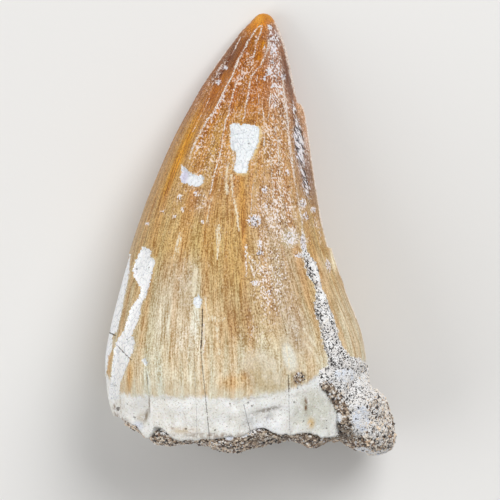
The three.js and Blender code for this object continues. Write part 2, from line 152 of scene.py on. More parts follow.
# Faint pale streaks in the enamel, nearly along the tooth.
PALE_STREAKS = [
    [(-3.8, -7.95), (-3.1, -8.1), (-2.4, -7.95)],
    [(-3.2, 0.6), (-3.1, -0.6), (-3.2, -2.3)],
    [(-5.3, -2.9), (-5.35, -4.4), (-5.45, -5.8)],
    [(-6.6, -0.4), (-6.75, -1.0), (-6.9, -1.7)],
    [(3.3, -10.6), (3.5, -11.6), (3.6, -12.5)],
    [(5.2, -10.3), (5.9, -11.2), (6.5, -12.2)],
    [(5.0, -8.9), (5.6, -9.9), (6.1, -10.6)],
    [(-4.35, -7.95), (-4.45, -9.84), (-4.82, -11.16), (-4.97, -12.39), (-4.82, -14.28), (-4.82, -15.3)],
    [(-3.18, -8.61), (-3.12, -10.03), (-3.07, -11.35)],
    [(-4.05, -7.94), (-3.59, -7.85), (-3.12, -7.88)],
    [(-2.97, 0.77), (-2.98, -0.38), (-3.07, -1.7)],
    [(-6.67, 0.05), (-7, -1.04), (-7.33, -2.41)],
    [(-5.13, -3.22), (-5.2, -4.35), (-5.34, -5.49)],
    [(-4.3, -5.9), (-4.26, -6.72), (-4.21, -7.44)],
    [(-1.85, 5.6), (-1.8, 4.3), (-1.62, 3.2), (-1.42, 2.4), (-1.3, 1.5), (-1.14, 0.38)],
    [(-2.2, 6.6), (-2.35, 5.2), (-2.3, 3.9)],
    [(-3.7, 3.4), (-4.0, 2.3), (-4.15, 1.2)],
    [(-4.6, -10.9), (-4.45, -12.8), (-4.4, -14.4)],
]
# Open hairline cracks, upper face and underside, from left to right: darkness, and line. They run down and up
# in turn, so that the signed distance from one crack to the next doesn't change its sign between them.
FRONT_CRACKS = [
    (1.0, [(-13.6, -9.25), (-12.95, -9.5)]),
    (0.8, [(-12.52, -10.62), (-12.01, -11.16), (-11.45, -11.71)]),
    (0.35, [(-9.49, -16.9), (-9.59, -15.27), (-9.7, -14.28)]),
    (0.6, [(-9.7, -14.28), (-9.79, -13.2)]),
    (0.3, [(-5.34, -11.92), (-5.25, -14.28), (-5.13, -16.18), (-5.08, -19.11)]),
    (0.6, [(-3.9, -19.27), (-4.36, -14.47), (-4.54, -12.87), (-4.73, -10.78)]),
    (1.0, [(-4.73, -10.78), (-4.62, -9.65), (-4.55, -7.09)]),
    (0.5, [(-0.67, -16.08), (-0.43, -17.12), (-0.09, -18.45)]),
    (0.3, [(1.42, -17.6), (1.61, -17.03), (1.84, -16.46)]),
    (0.75, [(3.52, -13.43), (3.56, -14.76)]),
    (0.35, [(3.56, -14.76), (3.58, -16.08), (3.62, -17.83), (3.73, -19.06)]),
]
BACK_CRACKS = [
    (0.8, [(-6.2, -9.8), (-6.6, -14.2), (-6.5, -18.8)]),
    (0.9, [(1.5, -19), (1.1, -12.4), (1.35, -8), (1.2, -3.5)]),
    (0.7, [(5.2, -12.5), (5.6, -19)]),
]

# Flakes of lost enamel: outlines (x, y).
FRONT_FLAKES = [
    [(-2, 10.45), (0, 10.35), (0.55, 10.2), (0.8, 9.85), (0.78, 9.05), (0.45, 8.05), (0.05, 7.2), (-0.25, 6.65),
     (-0.35, 5.75), (-1.3, 5.75), (-1.65, 6), (-1.4, 7.6), (-1.55, 7.9), (-1.95, 8.05)],
    [(-6.6, 6.6), (-6.2, 6.25), (-5.65, 5.75), (-5.2, 5.55), (-4.9, 5.5), (-4.7, 5.75), (-4.4, 5.25), (-4.55, 4.85),
     (-4.85, 4.55), (-5.2, 4.45), (-5.55, 4.6), (-5.75, 4.5), (-6.05, 4.85), (-6.45, 4.75), (-6.75, 5.3),
     (-6.6, 5.7)],
    [(-10.2, -1.15), (-9.35, -1.45), (-9.5, -2.25), (-9, -2.4), (-9.25, -3.45), (-9.8, -5.65), (-10.35, -6.7),
     (-10.45, -7.7), (-11.2, -9.55), (-10.9, -10.2), (-11.1, -10.95), (-11.85, -12.8), (-12.3, -13.9),
     (-12.4, -15.6), (-13.5, -15.6), (-13.25, -13.65), (-12.95, -10.95), (-12.75, -10.2), (-12, -9.1),
     (-11.3, -6.9), (-10.55, -5.95), (-10.35, -5.1), (-11, -4.2), (-11.2, -3.35), (-10.9, -2.5)],
    [(-4.9, -5.65), (-4.6, -6.3), (-4.8, -7.05), (-5.2, -7), (-5.45, -6.55), (-5.35, -6.05)],
    [(-10.31, -11.82), (-10.03, -11.73), (-9.7, -12.11), (-9.74, -12.49), (-10.07, -12.35)],
]  # fmt: skip
BACK_FLAKES = [
    [(-3.2, 8.6), (-2.1, 8.9), (-1.6, 7.9), (-2, 6.4), (-2.9, 6.1), (-3.4, 7.2)],
    [(2.2, 0.4), (3.1, 0.2), (3.5, -0.9), (3, -2.3), (2.3, -1.6)],
    [(-8.7, -4.4), (-7.8, -4.9), (-7.9, -7.2), (-8.5, -8.9), (-9.4, -8), (-9.2, -6.1)],
    [(4.9, -8.8), (5.7, -9.2), (5.6, -10.4), (4.8, -10.1)],
]
# Pores of the cement and pits of the flakes: radius and middle (x, y).
PORES = [
    (0.2, -12.54, -16.5), (0.12, -10.97, -17.3), (0.1, -6.15, -18.35), (0.1, -3.38, -18.45), (0.08, -0.57, -16.1),
    (0.07, -8.15, -15.5), (0.07, -6.5, -16.0), (0.1, -10.8, -3.3), (0.08, -11.2, -12.1), (0.07, 7.1, -17.6),
    (0.07, -5.5, -18.1), (0.06, 3.2, -16.9), (0.06, -9.1, -16.2), (0.07, -11.7, -9.9), (0.07, -11.5, -10.8),
]  # fmt: skip
# The left edge has lost its enamel as far in as this line reaches.
WORN_RIM = [
    (-16, -1.7), (-11.4, -1.9), (-11.5, -3.4), (-11.62, -4.4), (-11.85, -5.4), (-12.05, -6.4), (-12.25, -7.4),
    (-12.45, -8.3), (-12.6, -9.2), (-13.05, -9.5), (-13.1, -10.5), (-13.2, -11.1), (-13.45, -11.6),
    (-13.6, -12.6), (-13.7, -13.4), (-16, -13.4),
]  # fmt: skip

# Outlines of the rock-filled crack of the upper face and of the corner that is broken away: (x, y).
SEAM = [
    (4.95, -1.4), (4.85, -2.1), (5.2, -2.9), (5.32, -3.8), (5.7, -4.35), (6.08, -4.85), (6.2, -5.35), (6.1, -6.2),
    (5.97, -6.8), (6.1, -7.4), (6.45, -8.15), (6.62, -9.1), (6.75, -10), (7, -10.8), (7.35, -11.65),
    (7.25, -12.45), (9.6, -12.45), (9.4, -11.65), (8.65, -10.8), (8.2, -10), (8.15, -9.1), (7.8, -8.15),
    (7.58, -7.4), (7.3, -6.8), (7.15, -6.2), (6.9, -5.75), (6.67, -5.3), (6.55, -4.8), (6.45, -4.3), (6.38, -3.9),
    (6.2, -3.4), (6.03, -2.9), (5.6, -2.2), (5.3, -1.6),
]  # fmt: skip
# Its right side is white, without dark grains.
WHITE_SIDE = [(5.2, -1.5), (5.65, -2.5), (6.1, -3.4), (6.4, -4.3), (6.55, -5.1), (6.85, -6)]
CORNER = [
    (7.35, -11.65), (7.25, -12.45), (6.5, -12.85), (6.4, -14.3), (7, -14.85), (7.55, -15.7), (8.2, -16.85),
    (8.3, -18.15), (8, -19.2), (8, -24), (16, -24), (16, -12.95), (11.1, -12.95), (10.85, -12.45),
    (10.15, -11.75), (9.4, -11.65),
]  # fmt: skip

# How much less the crust sticks out at the bottom than the solid, by x, and the lump at the right, by y.
BOTTOM_TRIM = [
    (-9, 0), (-8, 0.1), (-7, 0.2), (-6.3, 0.4), (-5.2, 0.5), (-4.6, 0.35), (-3.5, 0.15), (-2.4, 0.15), (-1.2, 0.25),
    (-0.1, 0.38), (0.5, 0.48), (1.6, 0.25), (2.7, 0.3), (3.3, 0.43), (4.5, 0.32), (5.6, 0.12), (6.15, 0), (6.7, 0.2),
    (7.8, 0.1), (8.4, 0.42), (9, 0.2), (10.1, 0), (11.3, 0), (12.4, 0.25), (13.5, 0.25),
]  # fmt: skip
RIGHT_TRIM = [(-18.2, 0.12), (-17, 0.2), (-15.9, 0.17), (-14.8, 0.48), (-13.6, 0.37), (-12.5, 0)]

# The crumb of rock on the enamel: middle (x, y), radius, height and number of grains.
CRUMB = (4.55, -13.5)
CRUMB_RADIUS, CRUMB_HEIGHT, CRUMB_GRAINS = 0.52, 0.25, 110
# The brown pocket between the cement and the lump: its line (x, y) and half width.
BROWN_POCKET, POCKET_WIDTH = [(7.0, -14.8), (8.4, -16.8), (9.0, -19.0)], 0.85
# Where the pale rock has most pepper, and where the painted light on the sand is held back so that it stays dark: x,
# y, half width, half length, lean, strength.
PEPPERED = (8.9, -15.2, 1.0, 1.2, 0, 1)
DARK_SAND = (8.7, -18.7, 1.2, 0.75, 0, 1)
# Smooth chalky places of the rock: x, y, half width, half length, lean in degrees, strength, lowest height.
CHALK_SPOTS = [
    (10.35, -17.3, 0.85, 1.4, 8, 1.0, 6), (8.9, -13.3, 1.1, 0.7, 0, 1.0, 6), (10.7, -20.45, 0.9, 0.28, -14, 1.3, 5),
    (12.2, -20.85, 0.9, 0.3, 6, 1.3, 5), (8.2, -17.15, 0.3, 0.55, 18, 1.5, 8), (-10.4, -18.7, 0.45, 0.4, 0, 1.2, 10),
    (-2.05, -19.1, 0.4, 0.3, 0, 1.2, 13), (-0.7, -18.95, 0.45, 0.28, 0, 1.2, 13),
]  # fmt: skip

# ------------------------------------------------------------------ the tooth's colours

# Enamel down the middle of the crown: (depth below the tip, colour).
ENAMEL_BY_DEPTH = [
    (0, "ec9a14"), (1.1, "dc8a18"), (2.3, "a8661e"), (5, "b06d2c"), (8, "b16c2d"), (11, "be8742"),
    (17, "c0965e"), (22, "c09a5e"), (27, "c6a878"), (31, "cfb992"), (34.5, "d8ccb0"), (40, "ddd4bf"),
]  # fmt: skip
# Enamel at the left keel.
KEEL_BY_DEPTH = [
    (0, "c0741c"), (3, "7d4f33"), (8, "965c22"), (11, "a9763a"), (17, "bb925a"), (22, "b99b74"), (40, "d0c0a0"),
]  # fmt: skip
KEEL_SPREAD, KEEL_STRENGTH = 0.5, 0.8  # radians of the section that it takes, and its share of the colour
WEATHERED = "c9ae8c"  # weathered enamel of the underside
# Soft patches of the upper face: x, y, half width, half length, lean in degrees, strength, colour.
PATCHES = [
    (-2.3, 16.0, 0.6, 2.8, -27, 0.9, "6b3d24"),
    (-0.6, 17.9, 0.5, 1.0, -27, 0.8, "8a4c1a"),
    (-3.1, 14.0, 0.24, 2.2, -28, 0.85, "b86a10"),
    # Painted highlight on the left of the tip, then painted shade on its right.
    (0.7, 20.45, 0.3, 0.4, 0, 0.8, "f6ae38"),
    (1.5, 20.15, 0.22, 0.4, 10, 0.7, "c4700e"),
    (2.3, 16.2, 1.0, 3.2, 8, 0.85, "b38a72"),
    (-4.3, 13.0, 0.5, 1.8, -27, 0.6, "b87a3c"),
    (2.2, 12.8, 0.8, 1.2, 0, 0.7, "cf9f78"),
    (2.25, 18.9, 0.6, 1.25, 15, 0.95, "9c7666"),
    (3.45, 14.8, 0.42, 2.8, 10, 0.95, "74503f"),
    (3.0, 11.6, 0.9, 2.4, 8, 0.7, "ae8561"),
    (4.7, 11.75, 0.45, 0.85, 8, 0.95, "eab888"),
    (4.75, 7.6, 0.75, 4.6, 7, 0.9, "8d7166"),
    (5.7, 5.6, 0.6, 3.6, 12, 0.85, "8a6a5a"),
    (1.9, 2.3, 2.0, 3.7, 0, 0.65, "b47f54"),
    (5.3, 9.4, 0.32, 2.4, 9, 0.9, "cfa081"),
    (1.2, 17.9, 0.28, 0.5, 0, 0.9, "c8840a"),
    (0.75, 16.85, 0.3, 0.5, 0, 0.9, "bd7606"),
    (0.3, 17.0, 0.35, 0.9, -15, 0.7, "a8601c"),
    (-3.7, 11.0, 0.3, 3.0, -26, 0.7, "b26b1c"),
    (-6.6, 7.6, 0.42, 3.9, -24, 0.9, "cf8e22"),
    (-7.9, 4.6, 0.4, 1.8, -22, 0.7, "b8812c"),
    (0.9, 6.9, 0.4, 2.0, 0, 0.6, "bd8038"),
    (2.7, 6.5, 1.7, 5.5, 6, 0.6, "bf9468"),
    (2.8, -2.5, 2.4, 5.5, 0, 0.7, "c2a584"),
    (-0.8, 2.6, 0.36, 4.8, 2, 0.62, "c28328"),
    (-4.7, 3.0, 1.2, 1.6, 0, 0.6, "b88a62"),
    (-6.6, -5, 2.0, 2.8, 0, 0.7, "c8bba4"),
    (-6.7, 0.4, 1.3, 1.6, 0, 0.6, "d0b07a"),
    (-8.1, -7.4, 1.2, 3.0, 0, 0.7, "d6c8ae"),
    (-1.5, -3.4, 1.3, 2.5, 0, 0.7, "b98d4e"),
    (-2.5, 5.0, 1.2, 2.0, 0, 0.5, "b58754"),
    (3.2, -6.4, 1.6, 2.4, 0, 0.7, "b89a76"),
    (4.4, -9.4, 1.2, 2.2, 8, 0.8, "bfae97"),
    (-5.9, -9.3, 1.8, 2.8, 0, 0.8, "dacdb4"),
    (-1.2, -8.2, 1.9, 2.0, 0, 0.85, "b38b57"),
    (-0.95, -5.6, 0.15, 2.2, 0, 0.6, "a87530"),
    (1.3, -13.2, 2.5, 1.6, 0, 0.9, "cbb794"),
    (-1.8, -14.0, 1.3, 0.8, 0, 0.75, "c9a26a"),
    (-0.7, -13.3, 0.4, 0.5, 0, 0.6, "cf9f58"),
    (6.9, -4.0, 0.6, 2.5, 12, 0.5, "d8bd98"),
    (-11.4, -13.4, 0.4, 1.9, -6, 0.8, "cf9f5c"),
    (-13.3, -12.2, 0.25, 1.6, -8, 0.8, "c99a5b"),
    (7.8, -2.3, 0.3, 1.2, 10, 1.2, "fff6d6"),
    (9.2, -8.3, 1.0, 3.5, 12, 0.8, "d6c5a5"),
    (-5.0, -10.4, 0.2, 4.4, 3, 0.85, "ebe0c8"),
    (-3.15, -8.6, 0.25, 2.2, 2, 0.8, "e0d1b0"),
    (-8.7, -8.6, 0.3, 2.8, -7, 0.65, "e6dac0"),
    (-6.5, -9.8, 0.4, 1.7, -35, 0.6, "e8ddc8"),
]
# How far burial has frosted the enamel with pinkish mineral, by depth below the tip.
FROST_BY_DEPTH = [
    (0, 0), (1, 0), (1.8, 0.6), (12, 0.75), (16.5, 0.6), (19.5, 0.4), (24, 0.3), (30, 0.25), (40, 0.2),
]  # fmt: skip
# Glassy places that it spared: x, y, half width, half length, lean, strength.
GLASSY = [
    (-3.6, 11.4, 0.35, 3.4, -26, 0.8),
    (-5.9, 9.0, 0.5, 3.4, -24, 0.8),
    (-7.4, 6.0, 0.8, 3.4, -24, 0.6),
    (-9.3, 1.5, 1.0, 3.5, -20, 0.4),
    (-0.85, 3.0, 0.45, 4.6, 0, 0.7),
    (1.2, 17.9, 0.26, 0.5, 0, 1.0),
    (0.75, 16.85, 0.28, 0.5, 0, 1.0),
    (0.5, 18.7, 0.3, 0.7, -20, 0.6),
    (-0.75, 17.5, 0.45, 1.5, -27, 0.8),
    (0.3, 17.0, 0.3, 0.8, -15, 0.7),
    (-2.2, 15.6, 0.35, 2.6, -27, 0.6),
    (-3.1, 14.0, 0.24, 2.2, -28, 0.85),
    (3.5, 14.2, 0.35, 2.4, 10, 0.8),
    (8.0, -6.0, 1.2, 7.0, 18, 0.4),
    (6.2, 1.5, 0.7, 3.5, 14, 0.3),
]
# Where there is more of it: the same. Above 1 it lies on the enamel as a crust.
FROST = [
    (2.1, 18.0, 0.6, 2.5, 10, 1.3),
    (2.4, 15.4, 0.95, 3.6, 9, 1.2),
    (2.2, 12.6, 0.9, 1.2, 0, 1.2),
    (1.3, 17.65, 0.25, 0.45, 0, 1.3),
    (0.4, 18.6, 0.4, 0.6, 0, 1.0),
    (2.5, 18.6, 0.4, 1.3, 15, 1.15),
    (1.65, 15.35, 0.35, 0.45, -20, 2.1),
    (2.55, 15.2, 0.3, 0.3, 0, 1.9),
    (3.05, 14.95, 0.3, 0.35, 0, 2.1),
    (2.05, 16.35, 0.3, 0.18, -30, 2.0),
    (1.3, 14.75, 0.22, 0.25, 0, 1.9),
    (2.1, 14.0, 0.25, 0.22, 0, 2.0),
    (2.9, 13.4, 0.2, 0.2, 0, 1.9),
    (1.95, 17.3, 0.2, 0.2, 0, 1.9),
    (2.1, 18.4, 0.24, 0.26, 0, 2.0),
    (1.8, 19.75, 0.22, 0.4, 10, 2.2),
    (-2.4, 15.75, 0.3, 0.22, -40, 2.0),
    (-3.1, 14.4, 0.35, 0.35, -25, 1.75),
    (-3.3, 15.1, 0.5, 2.6, -35, 1.05),
    (-0.6, 15.5, 1.2, 2.8, -22, 1.0),
    (-4.3, 13.2, 0.5, 2.4, -27, 0.6),
    (-2.9, 12.4, 0.35, 3.6, -26, 1.1),
    (-4.7, 8.9, 0.4, 2.4, -26, 1.1),
    (-2.2, 8.5, 1.3, 5.5, -10, 0.7),
    (4.7, 8.0, 0.6, 4.5, 5, 0.85),
    (5.4, 8.0, 0.35, 3.0, 9, 1.1),
    (6.1, 4.6, 0.35, 2.4, 13, 1.1),
    (3.2, 11.5, 0.9, 3.2, 5, 1.05),
    (2.2, 8, 1.8, 5.8, 5, 0.95),
    (4.9, 2.9, 0.45, 0.7, 0, 1.5),
    (6.3, 0.6, 0.5, 2.0, 14, 0.9),
    (7.3, -3.0, 0.35, 0.8, 12, 1.5),
    (5.4, -0.6, 0.3, 1.0, 10, 0.9),
    (1.3, 4.2, 0.5, 0.5, 0, 1.4),
    (3.4, 5.8, 0.4, 0.35, 0, 1.4),
    (1.4, 2.6, 0.3, 0.6, 0, 1.3),
    (0.35, 1.2, 0.75, 0.7, 0, 2.1),
    (5.2, 1.7, 0.4, 0.5, 0, 1.6),
    (5.9, 2.3, 0.35, 0.35, 0, 1.5),
    (3.7, -0.3, 1.1, 1.3, 0, 1.25),
    (0.85, -1.2, 0.3, 1.1, 0, 1.4),
    (0.85, -1.85, 0.45, 0.3, 0, 1.9),
    (4.95, -0.9, 0.3, 1.3, 6, 2.2),
    (4.6, -2.0, 0.6, 0.3, 0, 1.9),
    (0.4, -4.6, 0.6, 0.4, 0, 1.4),
    (1.7, -5.5, 0.4, 0.45, 0, 1.4),
    (2.5, 2.0, 2.5, 5.0, 0, 1.0),
    (1.1, 2.2, 1.3, 5.0, 0, 0.82),
    (1.9, -4.0, 2.3, 5.8, 0, 0.95),
    (3.9, -7.5, 1.5, 4.5, 5, 0.65),
    (-6.75, 3.45, 0.28, 0.33, 0, 1.8),
    (5.8, 1, 0.7, 3, 14, 0.6),
    (-4.8, 3.2, 0.9, 1.3, 0, 0.95),
    (-5.2, 3.8, 0.3, 0.3, 0, 1.6),
    (-6.45, 2.3, 0.25, 0.3, 0, 1.4),
    (-8.3, 2.15, 0.3, 0.25, 0, 1.4),
    (-9.8, 1.0, 0.3, 0.3, 0, 1.4),
    (-7.2, 1.65, 0.25, 0.35, -20, 1.4),
    (-4.6, 1.1, 0.25, 0.3, 0, 1.4),
    (-6.1, -4.2, 1.2, 3.0, 0, 0.65),
    (-6.0, -9.5, 1.8, 4.5, 0, 0.55),
    (0.5, -9.5, 2.6, 3.5, 0, 0.65),
    (1.0, -13.0, 1.5, 1.5, 0, 0.5),
]
# White and black strokes along the flute: the same.
FLUTE = [
    (4.55, 8.6, 0.7, 3.8, 7, 1.66), (4.1, 11.8, 0.45, 1.4, 7, 1.4), (5.15, 4.9, 0.55, 3.0, 12, 1.5),
]  # fmt: skip
# Pale dusty veils: the same.
VEILS = [
    (0.9, -12.3, 2.15, 1.6, 0, 1.0),
    (1.6, -13.9, 2.0, 1.3, 0, 0.95),
    (3.6, -0.4, 1.0, 1.1, 0, 1.1),
    (3.6, -11.55, 0.8, 1.75, 17, 2.0),
    (5.3, -10.0, 1.1, 3.0, 10, 0.6),
    (-6.0, -5.4, 1.1, 2.2, 0, 0.5),
]
# Places where thin yellow enamel still rings a flake: the same.
HALOS = [(0.9, 8.6, 0.7, 2.4, -10, 1.3), (-0.9, 5.6, 0.9, 0.5, 0, 1.0), (-9.0, -2.6, 0.6, 1.6, 0, 0.7)]
# Brown stains of the rock on the enamel and cement: the same, and a strength up to 1.
STAINS = [
    (4.3, -14, 1.0, 0.22, 0, 1.0),
    (4.5, -13.5, 0.75, 0.65, 0, 0.9),
    (5.15, -16.1, 0.17, 0.75, 3, 1.3),
    (4.6, -15.0, 1.2, 0.25, 10, 0.35),
    (-12.95, -16.4, 0.16, 0.35, -10, 1.0),
    (-12.4, -17.2, 0.9, 0.35, -35, 0.7),
    (-7.4, -18.1, 0.18, 0.35, 0, 0.8),
    (-3.5, -18.95, 4.0, 0.26, 0, 0.75),
]
# Colour under the enamel, by y: chalky dentine above, cement of the root below.
UNDER_BY_Y = [(-20, "f4f4f1"), (-15, "f7f8f6"), (-13.5, "f4f8fb"), (21, "f4f8fb")]
# Patches of it: x, y, half width, half length, lean, strength, colour.
UNDER_PATCHES = [
    (-12.0, -8.0, 2.6, 10.0, -12, 1.0, "ffffff"),
    # Painted light that lightens the left of the band.
    (-9.0, -17.0, 4.0, 1.9, 0, 0.8, "fffefa"),
    (-6.3, 5.4, 0.45, 0.75, -20, 0.95, "d9d5e8"),
    (-12.3, -12.6, 0.5, 2.6, -5, 0.6, "f3f0ec"),
    (-12.3, -16.1, 0.07, 1.0, 4, 0.5, "b5a184"),
    # Painted shade in the hollow at the left end, then darker painted shade along its steep right wall.
    (-10.3, -17.4, 0.5, 0.6, -35, 0.85, "cbc0ab"),
    (-9.85, -17.1, 0.17, 0.55, -12, 0.9, "93836e"),
    (-9.58, -16.0, 0.07, 1.1, 0, 0.8, "a08d76"),
    (-10.6, -18.1, 0.5, 0.5, -30, 0.9, "dfe5f2"),
    (-6.4, -18.5, 1.4, 0.3, 0, 0.6, "c9ae83"),
    # Painted shade on a facet of the cement.
    (-0.1, -17.6, 0.8, 0.9, 0, 0.7, "d5d9df"),
    (1.6, -18.0, 1.3, 0.7, 0, 0.7, "eceef4"),
    # Painted shadow under a ledge of the cement, then painted shade below it.
    (1.6, -16.5, 1.35, 0.17, 12, 0.9, "8f867d"),
    (1.6, -17.2, 0.5, 0.25, 20, 0.6, "b9b7ba"),
    (5.9, -16.8, 2.0, 2.2, 0, 0.8, "dcddd0"),
    (5.65, -17.8, 0.36, 0.5, 5, 1.0, "e3c592"),
    # A painted highlight on the cement.
    (3.6, -18.0, 0.35, 0.6, 0, 0.8, "f8f9fb"),
]
# Hollows in the cement: x, y, half width, half length, lean, depth, and the x of a steep right wall.
CEMENT_HOLLOWS = [
    (-10.35, -17.1, 1.1, 1.2, -35, 0.7, -9.8),
    (1.7, -17.2, 1.5, 0.9, 8, 0.3, 9.0),
    (-7.2, -17.6, 1.4, 1.0, 0, 0.15, -6.3),
    (4.4, -17.4, 0.7, 1.2, 0, 0.2, 4.8),
    (-2.6, -17.8, 1.0, 0.8, 0, 0.12, 9.0),
]

# ------------------------------------------------------------------ sand and stage

GRAIN_SEED = 41
GRAIN_SPREAD, GRAIN_SUNK = 0.28, 0.3  # spread of the grains' sizes, and how deep they sit, in radii
COARSE_ON_PALE, FINE_ON_PALE = 0.08, 0.3  # how densely they lie on pale rock, as a share of that on brown rock
# Colours of sand grains, and the share of each on pale and on brown rock.
SANDS = ("f8f3ec", "ddcdb9", "b09a84", "705c4f", "2f2824", "d3d4d8")
PALE_SHARES = (0.62, 0.03, 0, 0.02, 0.19, 0.14)
BROWN_SHARES = (0.13, 0.19, 0.23, 0.27, 0.14, 0.04)

FLOOR_REACH, FLOOR_POINTS = 900, 9  # half the floor's side, and points along a side
KEY_LIGHT = (0.35, (0.22, 0.28, 0.45))  # side of the square light and its place, in metres
FILL_LIGHT = (0.5, (-0.48, -0.12, 0.34))
CAMERA_OVER = (-0.095, -1.51)  # the point of the table that the camera looks straight down on
SENSOR_WIDTH = 36

# ------------------------------------------------------------------ mathematics

LATTICE = 32  # cells along each side of the block of random numbers, which repeats past it


def linear(code):
    """An sRGB hex colour as linear red, green, blue and alpha: ((v + 0.055) / 1.055) to the power 2.4."""
    srgb = np.array([int(code[i : i + 2], 16) for i in (0, 2, 4)]) / 255
    rgb = np.where(srgb <= 0.04045, srgb / 12.92, ((srgb + 0.055) / 1.055) ** 2.4)
    return (*rgb, 1.0)


def smooth(points, warp=np.asarray):
    """A curve through (key, value) points: cubic pieces whose slope at a point is that between its neighbours."""
    table = np.asarray(points, float)
    keys, values = warp(table[:, 0]), table[:, 1]
    before = np.maximum(np.arange(len(keys)) - 1, 0)
    after = np.minimum(np.arange(len(keys)) + 1, len(keys) - 1)
    slopes = (values[after] - values[before]) / (keys[after] - keys[before])

    def curve(key):
        k = np.clip(warp(np.asarray(key, float)), keys[0], keys[-1])
        i = np.clip(np.searchsorted(keys, k) - 1, 0, len(keys) - 2)
        span = keys[i + 1] - keys[i]
        t = (k - keys[i]) / span
        rise = values[i + 1] - values[i]
        leave, arrive = slopes[i] * span, slopes[i + 1] * span
        bend = leave + arrive - 2 * rise
        return values[i] + t * (leave + t * (3 * rise - 2 * leave - arrive + t * bend))

    return curve


def from_tip(depth):
    """The square root of the depth, which spreads out the round tip."""
    return np.sqrt(np.maximum(depth, 0))


def colours_along(points, key):
    """Colours between (key, hex colour) points, faded in straight steps."""
    keys = [p[0] for p in points]
    table = np.array([linear(p[1])[:3] for p in points])
    return np.stack([np.interp(key, keys, table[:, i]) for i in range(3)], -1)


def mixed(colours, share, code):
    """Colours per point, moved towards one hex colour by a share per point."""
    return colours + share[:, None] * (np.array(linear(code)[:3]) - colours)


def fade(value, low, high):
    """0 at `low`, 1 at `high`, and the smooth step 3t^2 - 2t^3 between them."""
    t = np.clip((value - low) / (high - low), 0, 1)
    return t * t * (3 - 2 * t)


def swells(p, size):
    """The mean of three sine waves that run in different directions, `size` from crest to crest."""
    k = 2 * np.pi / size
    x, y, z = p[..., 0], p[..., 1], p[..., 2]
    first = np.sin(k * (0.9 * x + 0.5 * y + 0.2 * z) + 1.3)
    second = np.sin(k * (-0.4 * x + 0.8 * y + 0.6 * z) + 4.1)
    third = np.sin(k * (0.3 * x - 0.5 * y + 0.9 * z) + 2.6)
    return (first + second + third) / 3


def lumps(p, size, seed):
    """Random numbers from -1 to 1 on a cubic lattice with cells of `size`, faded smoothly into each other."""
    lattice = np.random.default_rng(seed).uniform(-1, 1, (LATTICE, LATTICE, LATTICE))
    cell = p / size
    base = np.floor(cell).astype(int)
    part = cell - base
    part = part * part * (3 - 2 * part)
    total = np.zeros(p.shape[:-1])
    for corner in itertools.product((0, 1), repeat=3):
        weight = np.prod(np.where(corner, part, 1 - part), axis=-1)
        i, j, k = np.moveaxis((base + corner) % LATTICE, -1, 0)
        total += weight * lattice[i, j, k]
    return total


def straight_parts(line, x, y):
    """Each straight part of a polyline: its start, its step, and the distance of each (x, y) to it."""
    for (ax, ay), (bx, by) in itertools.pairwise(line):
        dx, dy = bx - ax, by - ay
        t = np.clip(((x - ax) * dx + (y - ay) * dy) / (dx * dx + dy * dy), 0, 1)
        yield ax, ay, dx, dy, np.hypot(x - ax - t * dx, y - ay - t * dy)


def line_distance(lines, x, y):
    """Distance of each (x, y) to the nearest of several polylines, as the least over their straight parts."""
    best = np.full(np.shape(x), np.inf)
    for line in lines:
        for *_, distance in straight_parts(line, x, y):
            best = np.minimum(best, distance)
    return best


def crack_distance(cracks, x, y):
    """Distance of each (x, y) to the nearest crack, positive to the left of its direction and else negative.

    It is divided by the crack's width, which grows with its darkness. The second result is the darkness,
    faded to 0 a third of a millimetre away.
    """
    best, dark = np.full(np.shape(x), FAR), np.zeros(np.shape(x))
    for darkness, line in cracks:
        for ax, ay, dx, dy, distance in straight_parts(line, x, y):
            side = np.where(dx * (y - ay) - dy * (x - ax) > 0, 1, -1)
            nearer = distance < np.abs(best)
            best = np.where(nearer, side * distance, best)
            dark = np.where(nearer, darkness, dark)
    return best / (0.5 + 1.1 * dark), dark * (1 - fade(np.abs(best), 0.2, 0.33))


def outline_distance(outlines, x, y):
    """Distance of each (x, y) to the nearest of several closed outlines, negative inside one of them."""
    best = np.full(np.shape(x), np.inf)
    for outline in outlines:
        ring = [*outline, outline[0]]
        inside = np.zeros(np.shape(x), bool)
        for (ax, ay), (bx, by) in itertools.pairwise(ring):
            crossing = ax + (y - ay) / (by - ay if by != ay else 1e-9) * (bx - ax)
            inside ^= ((ay > y) != (by > y)) & (x < crossing)
        distance = line_distance([ring], x, y)
        best = np.minimum(best, np.where(inside, -distance, distance))
    return best


def soft_spot(x, y, spot):
    """A soft leaning ellipse: e to the minus cubed distance, measured in its half axes."""
    cx, cy, half_width, half_length, lean = spot[:5]
    turn = np.radians(lean)
    across = (x - cx) * np.cos(turn) + (y - cy) * np.sin(turn)
    along = (y - cy) * np.cos(turn) - (x - cx) * np.sin(turn)
    return spot[5] * np.exp(-(((across / half_width) ** 2 + (along / half_length) ** 2) ** 1.5))


# ------------------------------------------------------------------ meshes


def new_piece(name, points, quads, triangles, values):
    """A smooth mesh object from points in millimetres, its faces and its values per point, by name."""
    mesh = bpy.data.meshes.new(name)
    mesh.vertices.add(len(points))
    mesh.vertices.foreach_set("co", (points * MM).astype(np.float32).ravel())
    corners = np.concatenate([np.asarray(quads, np.int32).ravel(), np.asarray(triangles, np.int32).ravel()])
    sizes = np.concatenate([np.full(len(quads), 4), np.full(len(triangles), 3)])
    mesh.loops.add(len(corners))
    mesh.loops.foreach_set("vertex_index", corners)
    mesh.polygons.add(len(sizes))
    mesh.polygons.foreach_set("loop_start", np.concatenate([[0], np.cumsum(sizes)[:-1]]))
    mesh.polygons.foreach_set("use_smooth", np.ones(len(sizes), bool))
    mesh.update(calc_edges=True)
    mesh.validate()
    add_values(mesh, values)
    piece = bpy.data.objects.new(name, mesh)
    bpy.context.scene.collection.objects.link(piece)
    return piece


